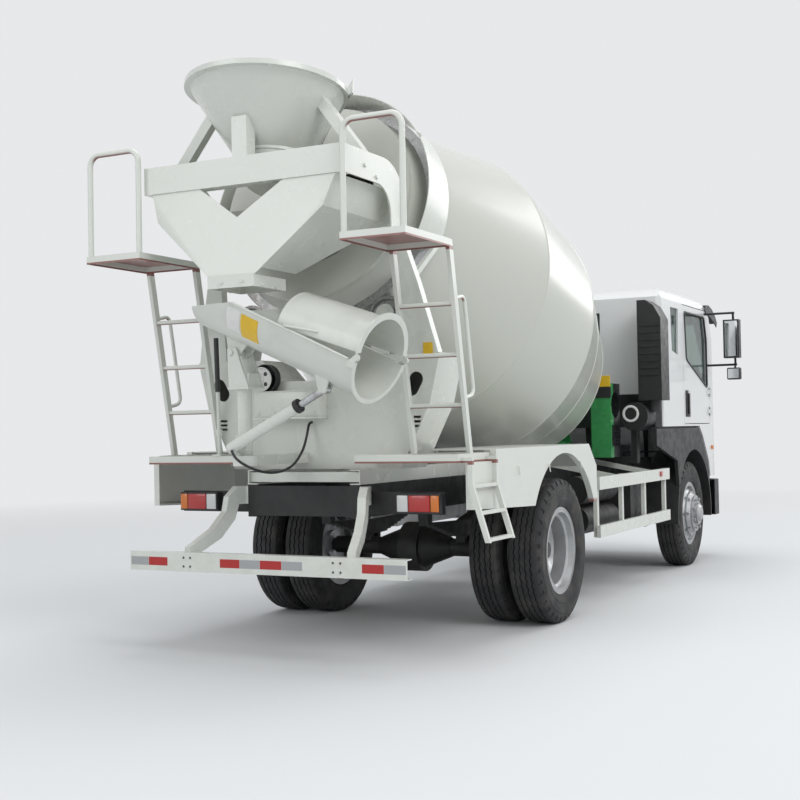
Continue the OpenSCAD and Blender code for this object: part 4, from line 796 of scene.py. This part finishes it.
# Drive: the reduction gearbox, its motor and the front pedestal, cast and
# welded, in green gloss enamel. The oil cooler beside them is green at its back
# and black in front.
drive_green = new_finish("drive_green", (0.035, 0.27, 0.075), 0.3, Coat_Weight=0.3, Coat_Roughness=0.1)
green_dust = both(drive_green, facing_up(drive_green), grain_of(drive_green, 6))
coat(drive_green, (0.11, 0.15, 0.09), green_dust, 0.5)
coat(drive_green, (0.02, 0.09, 0.03), grain_of(drive_green, 8, 0.55, 0.8), 0.5)
emboss(drive_green, grain_of(drive_green, 200, 0.3, 0.7), 0.0003)
vary_gloss(drive_green, grain_of(drive_green, 12), 0.24, 0.45)
for node in ("front_pedestal", "reducer"):
    dress(node, drive_green)
cooler_finish = drive_green.copy()
cooler_finish.name = "cooler_finish"
coat(cooler_finish, (0.014, 0.015, 0.016), rise(cooler_finish, "X", 0.893, 0.899))
dress("oil_cooler", cooler_finish)

# On the cooler's back: a dark sheet cover near its top, and a blank yellow sign
# plate above that.
cooler_shroud = block("cooler_shroud", at(2.060, -0.796, 1.560), at(2.082, -0.612, 1.650), 0.004)
settle(cooler_shroud, dark_paint, "root")
sign_yellow = new_finish("sign_yellow", (0.72, 0.46, 0.02), 0.35)
coat(sign_yellow, (0.42, 0.28, 0.05), grain_of(sign_yellow, 30, 0.5, 0.8), 0.35)
emboss(sign_yellow, grain_of(sign_yellow, 300, 0.3, 0.7), 0.0002)
cooler_sign = block("cooler_sign", at(2.062, -0.792, 1.652), at(2.074, -0.628, 1.745), 0.003)
settle(cooler_sign, sign_yellow, "root")


def smooth_skin(node, name, finish, angle=30):
    """A merged, smooth-shaded copy of a CAD node's mesh, which shows in its place."""
    source = nodes[node]
    skin = bpy.data.objects.new(name, source.data.copy())
    scene.collection.objects.link(skin)
    take(skin)
    if skin.data.has_custom_normals:
        bpy.ops.mesh.customdata_custom_splitnormals_clear()
    edit_all()
    bpy.ops.mesh.remove_doubles(threshold=0.00005)
    bpy.ops.object.mode_set(mode="OBJECT")
    settle(skin, finish, body_of(source)[0], smooth=angle)
    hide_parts(node)


smooth_skin("charging_hopper", "hopper_cone", mixer_white, 24)
hopper_bolts = []
for side in (-1, 1):
    for x, z in ((-1.934, 2.814), (-1.798, 2.769)):
        hopper_bolts.append(hex_bolt(at(x, side * 0.678, z), (0, side, 0), 0.012))
hopper_bolts = joined("hopper_bolts", hopper_bolts)
settle(hopper_bolts, mixer_white, "root")
clamp_bolt = joined("ring_clamp_bolt", [hex_bolt(at(-1.185, -0.655, 3.140), (0.15, -0.84, 0.52), 0.016)])
settle(clamp_bolt, mixer_white, "root")

# Discharge collector: folded sheet that gathers the concrete from the drum's
# mouth, with two bolts through the outlet's back and two through each side.
smooth_skin("discharge_collector", "collector_sheet", mixer_white, 24)
outlet_bolts = []
for y in (-0.079, 0.059):
    outlet_bolts.append(hex_bolt(at(-2.286, y, 2.170), (-1, 0, 0)))
for side in (-1, 1):
    for x in (-2.204, -2.062):
        outlet_bolts.append(hex_bolt(at(x, side * 0.156, 2.148), (0, side, 0)))
outlet_bolts = joined("outlet_bolts", outlet_bolts)
settle(outlet_bolts, mixer_white, "root")

# The guard over the drum's ring, the hopper's legs and the chute's swivel
# column: rolled sheet and welded tube in the same white enamel.
smooth_skin("ring_guard", "ring_guard_sheet", mixer_white)
smooth_skin("hopper_frame", "hopper_legs", mixer_white)
smooth_skin("chute_swivel", "swivel_column", mixer_white)

# The small sign on the hopper's right leg: a blank yellow sheet plate stuck
# flat to the leg.
leg_sign = block("leg_sign", at(-1.4085, -0.828, 1.772), at(-1.4050, -0.764, 1.852), 0.001)
settle(leg_sign, sign_yellow, "root")


# Discharge chute: a trough rolled from 6 mm wear plate in two lengths that
# fold on each other. The enamel is white, scratched and dulled by a thin skin
# of set cement, and two blank plates are stuck to the trough's outside.
chute_swing = math.radians(180 + 83)
chute_slope = math.radians(24)
trough_foot = 0.170
trough_axis_z = 2.112
trough_length = 1.230
trough_start_r = 0.251
trough_end_r = 0.214


def on_swivel(x, y, z):
    """A place given from the swivel's axis at the ground, x along the parked chute."""
    return at(
        -2.005 + x * math.cos(chute_swing) - y * math.sin(chute_swing),
        0.105 + x * math.sin(chute_swing) + y * math.cos(chute_swing),
        z,
    )


def in_trough(s, turn, radius):
    """A place on the trough: s along it, turn from its bottom, radius from its axis."""
    along = s - trough_foot
    up = -radius * math.cos(turn)
    x = along * math.cos(chute_slope) + up * math.sin(chute_slope)
    z = up * math.cos(chute_slope) - along * math.sin(chute_slope)
    return on_swivel(x, radius * math.sin(turn), trough_axis_z + z)


chute_white = white_enamel("chute_white", (0.63, 0.65, 0.60), 0.3)
coat(chute_white, (0.42, 0.41, 0.38), grain_of(chute_white, 7, 0.54, 0.74, (1, 1, 0.5)), 0.22)
emboss(chute_white, grain_of(chute_white, 40, 0.5, 0.8), 0.0006)
smooth_skin("main_chute", "chute_trough", chute_white, 24)
smooth_skin("chute_extension", "folding_trough", chute_white, 24)


def trough_plate(name, along, turns, finish):
    """A thin plate bent to the outside of the trough, between two places and two turns in degrees."""
    deselect()
    bpy.ops.mesh.primitive_grid_add(x_subdivisions=4, y_subdivisions=12, size=1)
    plate = bpy.context.object
    for corner in plate.data.vertices:
        s = along[0] + (corner.co.x + 0.5) * (along[1] - along[0])
        turn = math.radians(turns[0] + (corner.co.y + 0.5) * (turns[1] - turns[0]))
        radius = trough_start_r + (trough_end_r - trough_start_r) * s / trough_length + 0.0003
        corner.co = in_trough(s, turn, radius)
    wall = plate.modifiers.new("thickness", "SOLIDIFY")
    wall.thickness = 0.0012
    wall.offset = 1
    bpy.ops.object.mode_set(mode="EDIT")
    turn_outwards()
    middle = plate.data.polygons[len(plate.data.polygons) // 2]
    outward = middle.center - in_trough((along[0] + along[1]) / 2, 0, 0)
    if middle.normal.dot(outward) < 0:
        plate.data.flip_normals()
    bpy.context.view_layer.objects.active = plate
    bpy.ops.object.modifier_apply(modifier="thickness")
    plate.name = name
    plate.data.name = name
    settle(plate, finish, "main_chute", smooth=40)


plate_white = new_finish("plate_white", (0.72, 0.72, 0.70), 0.4)
coat(plate_white, (0.50, 0.49, 0.45), grain_of(plate_white, 18, 0.5, 0.75), 0.35)
emboss(plate_white, grain_of(plate_white, 200), 0.0002)
trough_plate("chute_sign_yellow", (0.395, 0.525), (-82, -46), sign_yellow)
trough_plate("chute_sign_white", (0.285, 0.385), (-84, -50), plate_white)

# The chute's hand grip: one bent round bar welded to the folding trough.
chute_handle = rod("chute_handle", [
    at(-2.262, -0.345, 1.905), at(-2.296, -0.352, 1.906), at(-2.304, -0.372, 1.903),
    at(-2.304, -0.540, 1.868), at(-2.296, -0.560, 1.862), at(-2.250, -0.566, 1.858),
], 0.007)
settle(chute_handle, mixer_white, "chute_extension", smooth=50)

# Lift cylinder: a white-painted barrel with a black gland ring, and a
# hard-chromed rod.
smooth_skin("lift_barrel", "cylinder_barrel", mixer_white)
barrel_foot = on_swivel(0.020, -0.095, 1.255)
rod_head = on_swivel(0.664, -0.095, 1.554)
stroke_way = (rod_head - barrel_foot).normalized()
gland_outline = [
    (0.0393, 0.0), (0.0405, 0.001), (0.0405, 0.023), (0.0380, 0.0245), (0.0204, 0.0248), (0.0204, 0.0242),
    (0.0375, 0.0240),
]
gland_ring = turned("gland_ring", gland_outline, 40, barrel_foot + 0.488 * stroke_way, stroke_way)
settle(gland_ring, black_plastic, "lift_barrel", smooth=30)
rod_chrome = new_finish("rod_chrome", (0.55, 0.56, 0.57), 0.14, 1.0)
coat(rod_chrome, (0.16, 0.13, 0.10), grain_of(rod_chrome, 20, 0.55, 0.75), 0.45)
vary_gloss(rod_chrome, grain_of(rod_chrome, 50, 0.4, 0.7), 0.10, 0.34)
smooth_skin("lift_rod", "cylinder_rod", rod_chrome)

# Platforms, hoops and ladders at the rear: bent tube and sheet in the mixer's
# white, with the dark red primer still bare on their undersides and lower
# edges.
primer_red = (0.20, 0.035, 0.025)
platform_white = white_enamel("platform_white", enamel_colour, 0.3)
coat(platform_white, primer_red, facing_up(platform_white, -0.4, -0.8), 0.9)
for band_top, band_foot in ((2.364, 2.341), (1.141, 1.119)):
    below_top = rise(platform_white, "Z", band_top + 0.001, band_top - 0.001)
    above_foot = rise(platform_white, "Z", band_foot - 0.001, band_foot + 0.001)
    coat(platform_white, primer_red, both(platform_white, below_top, above_foot), 0.9)
smooth_skin("access_right", "ladder_and_platform_right", platform_white)
smooth_skin("access_left", "ladder_and_platform_left", platform_white)
smooth_skin("lower_steps", "lower_platforms", platform_white)

# Tread plates: steel sheet with raised bars pressed crosswise in it, one on
# each of the four platforms, bare and dirty where feet have worn it.
tread_steel = new_finish("tread_steel", (0.42, 0.43, 0.40), 0.45, 0.2)
coat(tread_steel, (0.22, 0.20, 0.17), grain_of(tread_steel, 9, 0.42, 0.7), 0.6)
emboss(tread_steel, grain_of(tread_steel, 120), 0.0004)
bar_size = (0.026, 0.006, 0.003)
bar_spacing = 0.045
bar_turn = 0.785


def tread_plate(name, low, high):
    """A thin plate between two corners with raised bars laid crosswise on it."""
    sheet_top = high.z - bar_size[2] / 2
    parts = [block("tread_sheet", low, (high.x, high.y, sheet_top), 0.0006)]
    rows = int((high.x - low.x) / bar_spacing)
    columns = int((high.y - low.y) / bar_spacing)
    for i in range(rows):
        for j in range(columns):
            x = low.x + (i + 0.5) * (high.x - low.x) / rows
            y = low.y + (j + 0.5) * (high.y - low.y) / columns
            turn = bar_turn if (i + j) % 2 else -bar_turn
            deselect()
            bpy.ops.mesh.primitive_cube_add(size=1, location=(x, y, sheet_top), rotation=(0, 0, turn))
            bar = bpy.context.object
            bar.scale = bar_size
            parts.append(bar)
    settle(joined(name, parts), tread_steel, "root")


tread_plate("tread_upper_right", at(-2.220, -1.062, 2.4004), at(-1.690, -0.700, 2.4044))
tread_plate("tread_upper_left", at(-2.220, 0.700, 2.4004), at(-1.690, 1.062, 2.4044))
tread_plate("tread_lower_right", at(-1.630, -1.070, 1.1804), at(-1.220, -0.790, 1.1844))
tread_plate("tread_lower_left", at(-1.570, 0.620, 1.1804), at(-1.220, 1.070, 1.1844))

# Rear fenders: pressed and folded sheet, white with red primer showing along
# the lower edge, with three small bent rod hooks on the outside of each.
fender_white = white_enamel("fender_white", enamel_colour, 0.28)
coat(fender_white, primer_red, rise(fender_white, "Z", 0.815, 0.795), 0.85)
smooth_skin("rear_fenders", "fender_panels", fender_white)
fender_hooks = []
for side in (-1, 1):
    for x in (-0.859, -0.330, 0.280):
        fender_hooks.append(rod("hook", [
            at(x, side * 1.126, 1.085), at(x, side * 1.142, 1.080),
            at(x, side * 1.144, 1.045), at(x + 0.012, side * 1.142, 1.032),
        ], 0.004))
fender_hooks = joined("fender_hooks", fender_hooks)
settle(fender_hooks, mixer_white, "root", smooth=50)


# Reflectors and marker lamps on the flanks: red and amber lenses moulded with
# prisms inside, one of each on either side.
sides = ((-1, "right"), (1, "left"))


def prism_finish(name, colour, roughness, scale, depth, **sockets):
    finish = new_finish(name, colour, roughness, **sockets)
    emboss(finish, object_mask(finish, "ShaderNodeTexVoronoi", {"Scale": scale}, 0.0, 0.6), depth)
    return finish


def side_block(name, side, low, high, edge=0.003):
    """A block between two corners given for the left side, or its mirror image for side -1."""
    y_low, y_high = sorted((side * low[1], side * high[1]))
    return block(name, at(low[0], y_low, low[2]), at(high[0], y_high, high[2]), edge)


def lens(name, side, low, high, finish, edge=0.006):
    piece = side_block(name, side, low, high, edge)
    settle(piece, finish, "root", smooth=40)


clear_coat = {"Coat_Weight": 0.6, "Coat_Roughness": 0.05}
lens_red = prism_finish("lens_red", (0.42, 0.012, 0.010), 0.18, 160.0, 0.0008, **clear_coat)
lens_amber = prism_finish("lens_amber", (0.62, 0.16, 0.008), 0.18, 160.0, 0.0008, **clear_coat)
for side, hand in sides:
    lens("side_reflector_" + hand, side, (2.595, 1.050, 0.880), (2.655, 1.060, 0.924), lens_red, 0.004)
    lens("side_marker_" + hand, side, (4.455, 1.046, 1.075), (4.520, 1.062, 1.115), lens_amber, 0.005)

# Tail lamps and head lamps: black moulded housings. Each tail lamp has a clear
# reversing lens, a red stop lens and an amber indicator lens side by side, and
# each head lamp one clear lens.
lens_clear = prism_finish("lens_clear", (0.62, 0.63, 0.62), 0.12, 140.0, 0.0008, **clear_coat)
lamp_housing = new_finish("lamp_housing", (0.025, 0.025, 0.027), 0.45)
emboss(lamp_housing, grain_of(lamp_housing, 260), 0.0003)
dress("lamps", lamp_housing)
for side, hand in sides:
    for kind, finish, near, far in (
        ("reverse", lens_clear, 0.645, 0.716), ("stop", lens_red, 0.720, 0.860),
        ("turn", lens_amber, 0.864, 0.917),
    ):
        lens("tail_" + kind + "_" + hand, side, (-1.556, near, 0.843), (-1.544, far, 0.940), finish)
    lens("head_lamp_" + hand, side, (4.8555, 0.712, 0.572), (4.8645, 0.928, 0.678), lens_clear, 0.004)

# Underrun guard: a square tube on two arms, white, with red and silver
# reflecting tape on its rear face and a bolt group over each arm.
smooth_skin("underrun_bar", "underrun_guard", mixer_white)
tape_red = prism_finish("tape_red", (0.40, 0.020, 0.018), 0.3, 210.0, 0.0002)
tape_silver = prism_finish("tape_silver", (0.36, 0.37, 0.38), 0.3, 210.0, 0.0002, metallic=0.3)
for name, y_low, y_high, finish in (
    ("tape_a", 0.807, 0.938, tape_silver), ("tape_b", 0.666, 0.805, tape_red),
    ("tape_c", 0.147, 0.285, tape_red), ("tape_d", 0.008, 0.145, tape_silver),
    ("tape_e", -0.140, 0.006, tape_red), ("tape_f", -0.279, -0.142, tape_silver),
    ("tape_g", -0.803, -0.666, tape_red), ("tape_h", -0.938, -0.805, tape_silver),
):
    tape = block(name, at(-2.0256, y_low, 0.535), at(-2.0246, y_high, 0.585), 0.0003)
    settle(tape, finish, "root")
underrun_bolts = []
for arm_y in (-0.505, 0.523):
    for y in (arm_y - 0.024, arm_y + 0.024):
        for z in (0.534, 0.586):
            underrun_bolts.append(hex_bolt(at(-2.025, y, z), (-1, 0, 0), 0.0055))
underrun_bolts = joined("underrun_bolts", underrun_bolts)
settle(underrun_bolts, hub_iron, "root")

# Cab: pressed and spot-welded steel, primed and sprayed gloss white, whiter
# than the mixer. Its rear wall is painted near-black below the engine cover's height as painted shade
# of the recess there, and the grille's bars and the bumper are black moulded plastic.
cab_white = new_finish("cab_white", (0.72, 0.73, 0.73), 0.2, Coat_Weight=0.45, Coat_Roughness=0.06)
low_dirt = both(cab_white, rise(cab_white, "Z", 1.5, 0.9), grain_of(cab_white, 14, 0.3, 0.9))
coat(cab_white, (0.50, 0.48, 0.44), low_dirt, 0.16)
roof_dust = both(cab_white, facing_up(cab_white, 0.6, 0.98), grain_of(cab_white, 2, 0.2, 0.9))
coat(cab_white, (0.54, 0.53, 0.50), roof_dust, 0.12)
emboss(cab_white, grain_of(cab_white, 260, 0.3, 0.7), 0.0002)
emboss(cab_white, grain_of(cab_white, 1.6, 0.2, 0.8, detail=0.0), 0.0012)
vary_gloss(cab_white, grain_of(cab_white, 3, 0.2, 0.9), 0.17, 0.23)
cab_white_with_painted_shade = cab_white.copy()
cab_white_with_painted_shade.name = "cab_white_with_painted_shade"
# Painted shade: the rear wall's lower band, in the recess below the engine cover's height, is coloured
# near-black.
recess_painted_shade = both(cab_white_with_painted_shade, rise(cab_white_with_painted_shade, "Z", 1.602, 1.596), rise(cab_white_with_painted_shade, "X", 1.500, 1.492))
coat(cab_white_with_painted_shade, (0.024, 0.024, 0.026), recess_painted_shade)
smooth_skin("cab_shell", "cab_body", cab_white_with_painted_shade, 28)
smooth_skin("door_right", "door_skin_right", cab_white, 28)
smooth_skin("door_left", "door_skin_left", cab_white, 28)
smooth_skin("cab_trim", "grille_bars", black_plastic, 28)
smooth_skin("front_bumper", "bumper", black_plastic, 28)

# Windows: tinted safety glass in the cab's and the doors' openings, with a
# black rubber seal round each door's pane.
safety_glass = new_finish(
    "safety_glass", (0.42, 0.50, 0.47), 0.02, Transmission_Weight=0.92, IOR=1.2, Specular_IOR_Level=0.6,
)
coat(safety_glass, (0.36, 0.35, 0.30), grain_of(safety_glass, 3, 0.5, 0.9), 0.12)
vary_gloss(safety_glass, grain_of(safety_glass, 30), 0.02, 0.07)
for node in ("cab_glass", "door_glass_right", "door_glass_left"):
    dress(node, safety_glass)
window_outline = [(3.560, 1.930), (4.330, 1.680), (4.330, 2.150), (4.250, 2.370), (3.510, 2.370)]
seal_corner = 0.035
for side, hand in sides:
    corners = [at(x, side * 1.0505, z) for x, z in window_outline]
    loop = []
    for k, corner in enumerate(corners):
        before = corners[k - 1] - corner
        after = corners[(k + 1) % len(corners)] - corner
        start = corner + seal_corner * before.normalized()
        end = corner + seal_corner * after.normalized()
        for t in (0.0, 0.25, 0.5, 0.75, 1.0):
            loop.append((1 - t) ** 2 * start + 2 * t * (1 - t) * corner + t * t * end)
    loop.append(loop[0])
    seal = rod("window_seal_" + hand, loop, 0.010)
    settle(seal, hose_rubber, "door_" + hand, smooth=60)

# Door handles: black moulded upright grips over their tall shallow cups, one
# screwed into each door's skin behind the window's lower corner.
for side, hand in sides:
    handle = joined("door_handle_" + hand, [
        side_block("handle_cup", side, (3.508, 1.046, 1.395), (3.652, 1.058, 1.640), 0.004),
        side_block("handle_grip", side, (3.558, 1.056, 1.420), (3.602, 1.072, 1.615), 0.006),
    ])
    settle(handle, black_plastic, "door_" + hand, smooth=40)

# Mirrors: black moulded housings, a tall one and a small one under it on each
# side, with a silvered glass in each.
silvered_glass = new_finish("silvered_glass", (0.74, 0.76, 0.77), 0.03, 1.0)
vary_gloss(silvered_glass, grain_of(silvered_glass, 12), 0.02, 0.08)
for side, hand in sides:
    mirror_body = body_of(nodes["mirror_" + hand])[0]
    smooth_skin("mirror_" + hand, "mirror_housing_" + hand, black_plastic)
    glass = side_block("mirror_glass_" + hand, side, (4.1975, 1.264, 1.974), (4.2010, 1.386, 2.316), 0.001)
    settle(glass, silvered_glass, mirror_body)
    lower_mirror = joined("lower_mirror_" + hand, [
        side_block("lower_housing", side, (4.262, 1.262, 1.752), (4.332, 1.392, 1.868), 0.012),
        rod("lower_arm", [at(4.350, side * 1.330, 1.905), at(4.325, side * 1.328, 1.850)], 0.010),
    ])
    settle(lower_mirror, black_plastic, mirror_body, smooth=40)
    lower_glass = side_block(
        "lower_mirror_glass_" + hand, side, (4.2600, 1.273, 1.764), (4.2635, 1.381, 1.856), 0.001,
    )
    settle(lower_glass, silvered_glass, mirror_body)


# Sun visor: one dark plastic sheet bent over the top of the windscreen, on
# end plates screwed to the roof's edge, with an amber marker lamp on the roof
# at each side.
def folded_sheet(name, outline, y_start, width):
    """A closed outline of (x, z) corners, drawn out sideways from one place across the truck."""
    deselect()
    bpy.ops.mesh.primitive_circle_add(vertices=len(outline), radius=1, fill_type="NGON")
    piece = bpy.context.object
    for corner, (x, z) in zip(piece.data.vertices, outline):
        corner.co = at(x, y_start, z)
    edit_all()
    bpy.ops.mesh.extrude_region_move(TRANSFORM_OT_translate={"value": (0, width, 0)})
    turn_outwards()
    piece.name = name
    return piece


visor_outline = [
    (4.400, 2.500), (4.520, 2.485), (4.640, 2.435), (4.765, 2.345),
    (4.758, 2.339), (4.634, 2.427), (4.518, 2.477), (4.400, 2.491),
]
cheek_outline = [
    (4.270, 2.448), (4.330, 2.492), (4.420, 2.500), (4.560, 2.470), (4.690, 2.410),
    (4.765, 2.345), (4.735, 2.300), (4.620, 2.352), (4.480, 2.392), (4.350, 2.408),
]
visor = [folded_sheet("visor_sheet", visor_outline, -1.056, 2.112)]
for side in (-1, 1):
    visor.append(folded_sheet("visor_cheek", cheek_outline, side * 1.054, side * 0.008))
visor = joined("sun_visor", visor)
settle(visor, black_plastic, "cab", smooth=30)
marker_outline = [(0.0, 0.0), (0.024, 0.0), (0.024, 0.010), (0.018, 0.022), (0.0, 0.026)]
for side, hand in sides:
    marker = turned("roof_marker_" + hand, marker_outline, 28, at(4.263, side * 0.930, 2.518))
    settle(marker, lens_amber, "cab", smooth=30)

# Wipers: two black arms with rubber blades, parked along the windscreen's
# lower edge.
screen_foot = at(4.772, 0, 1.800)
pivot_outline = [(0.0, 0.0), (0.018, 0.0), (0.014, 0.022), (0.0, 0.024)]
wipers = []
for y in (-0.55, 0.30):
    pivot = screen_foot + Vector((0.004, y, -0.030))
    tip = screen_foot + Vector((-0.022, y + 0.42, 0.085))
    arm_start = pivot + Vector((0.018, 0, 0.006))
    arm_points = [arm_start, tip + Vector((0.020, -0.10, -0.020)), tip + Vector((0.012, 0, 0))]
    blade_points = [tip + Vector((0.010, -0.26, -0.062)), tip + Vector((0.008, 0.12, 0.020))]
    wipers.append(turned("wiper_pivot", pivot_outline, 20, pivot, (1, 0, 0.3)))
    wipers.append(rod("wiper_arm", arm_points, 0.006))
    wipers.append(rod("wiper_blade", blade_points, 0.007))
wipers = joined("wipers", wipers)
settle(wipers, hose_rubber, "cab", smooth=50)

# Air intake: a black moulded snorkel with slats, its duct and the round filter
# can, with a pale seal ring on the can's face.
smooth_skin("air_intake", "intake_snorkel", black_plastic)
ring_outline = [
    (0.052, -0.001), (0.072, -0.001), (0.072, 0.004), (0.066, 0.006), (0.056, 0.006), (0.052, 0.004),
]
seal_ring = turned("filter_ring", ring_outline, 56, at(2.3675, -0.872, 1.425), (-1, 0, 0))
settle(seal_ring, plate_white, "root", smooth=30)

# Cab fittings: a moulded dashboard on two side boxes, steering column and
# wheel, and sheet plinths under the seats, all in dark grey.
cab_grey = new_finish("cab_grey", (0.075, 0.078, 0.082), 0.6)
emboss(cab_grey, grain_of(cab_grey, 500, 0.35, 0.7), 0.0005)
vary_gloss(cab_grey, grain_of(cab_grey, 20), 0.5, 0.7)
dash_outline = [(4.380, 1.700), (4.640, 1.700), (4.560, 1.910), (4.420, 1.870)]
dashboard = folded_sheet("dashboard", dash_outline, -0.920, 1.840)
dash_edges = dashboard.modifiers.new("edges", "BEVEL")
dash_edges.width = 0.018
dash_edges.segments = 3
bpy.ops.object.modifier_apply(modifier="edges")
fittings = [dashboard]
for side in (-1, 1):
    fittings.append(side_block("dash_foot", side, (4.420, 0.700, 1.3505), (4.600, 0.900, 1.704), 0.012))
    fittings.append(side_block("seat_plinth", side, (3.340, 0.370, 1.3505), (3.760, 0.790, 1.490), 0.010))
steering_place = at(4.150, 0.580, 1.990)
steering_tilt = math.radians(-25)
steering_axis = Vector((math.sin(steering_tilt), 0, math.cos(steering_tilt)))
steering_across = Vector((math.cos(steering_tilt), 0, -math.sin(steering_tilt)))
deselect()
bpy.ops.mesh.primitive_torus_add(
    location=steering_place, rotation=(0, steering_tilt, 0), major_radius=0.215, minor_radius=0.015,
    major_segments=64, minor_segments=12,
)
fittings.append(bpy.context.object)
for spoke_turn in (90, 210, 330):
    angle = math.radians(spoke_turn)
    out = math.cos(angle) * steering_across + math.sin(angle) * Vector((0, 1, 0))
    spoke = [steering_place + 0.02 * out - 0.012 * steering_axis, steering_place + 0.21 * out]
    fittings.append(rod("wheel_spoke", spoke, 0.011))
boss_outline = [(0.0, -0.02), (0.045, -0.02), (0.050, -0.006), (0.038, 0.012), (0.0, 0.016)]
fittings.append(turned("wheel_hub", boss_outline, 32, steering_place, steering_axis))
column = [steering_place - 0.01 * steering_axis, at(4.400, 0.580, 1.790)]
fittings.append(rod("steering_column", column, 0.024))
fittings = joined("cab_fittings", fittings)
settle(fittings, cab_grey, "cab", smooth=35)
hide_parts("cab_interior")

# Seats: sprung foam cushions in dark woven cloth, sewn with a welt round each
# and crowned by their filling. One cushion lies on each plinth, and one leans
# behind it.
seat_cloth = new_finish("seat_cloth", (0.045, 0.050, 0.060), 0.85, Sheen_Weight=0.3)
weave = object_mask(seat_cloth, "ShaderNodeTexBrick", {"Scale": 120.0}, 0.2, 0.8)
coat(seat_cloth, (0.075, 0.080, 0.090), weave, 0.5)
emboss(seat_cloth, grain_of(seat_cloth, 700, 0.35, 0.7), 0.0006)
edge_height = 0.62
welt_width = 0.0048
corner_rounding = 0.10


def cushion(name, middle, size, lean, crown):
    """A closed foam cushion, crowned on its faces and with a welt round its edge."""
    deselect()
    bpy.ops.mesh.primitive_cube_add(size=1)
    pad = bpy.context.object
    edit_all()
    bpy.ops.mesh.subdivide(number_cuts=11)
    bpy.ops.object.mode_set(mode="OBJECT")
    for corner in pad.data.vertices:
        x, y, z = corner.co
        along, across, height = 2 * abs(x), 2 * abs(y), 2 * abs(z)
        swell = (1 - along ** 4) * (1 - across ** 4)
        welt = welt_width * (1 - height) ** 2 if max(along, across) > 0.98 else 0.0
        pull = 1 - corner_rounding * along ** 6 * across ** 6 + welt
        lift = z * (edge_height + (1 - edge_height) * swell)
        corner.co = (x * pull, y * pull, lift + math.copysign(crown * swell, z) * height ** 2)
    smoothing = pad.modifiers.new("foam", "SUBSURF")
    smoothing.levels = 1
    smoothing.render_levels = 1
    bpy.ops.object.modifier_apply(modifier="foam")
    pad.scale = size
    pad.rotation_euler = (0, lean, 0)
    pad.location = middle
    pad.name = name
    pad.data.name = name
    settle(pad, seat_cloth, "cab", smooth=60)


seat_size = (0.490, 0.490, 0.125)
back_size = (0.640, 0.470, 0.115)
back_lean = math.radians(-96)
for side, hand in sides:
    cushion("seat_cushion_" + hand, at(3.550, side * 0.580, 1.548), seat_size, 0, 0.10)
    cushion("seat_back_" + hand, at(3.240, side * 0.580, 1.912), back_size, back_lean, 0.08)
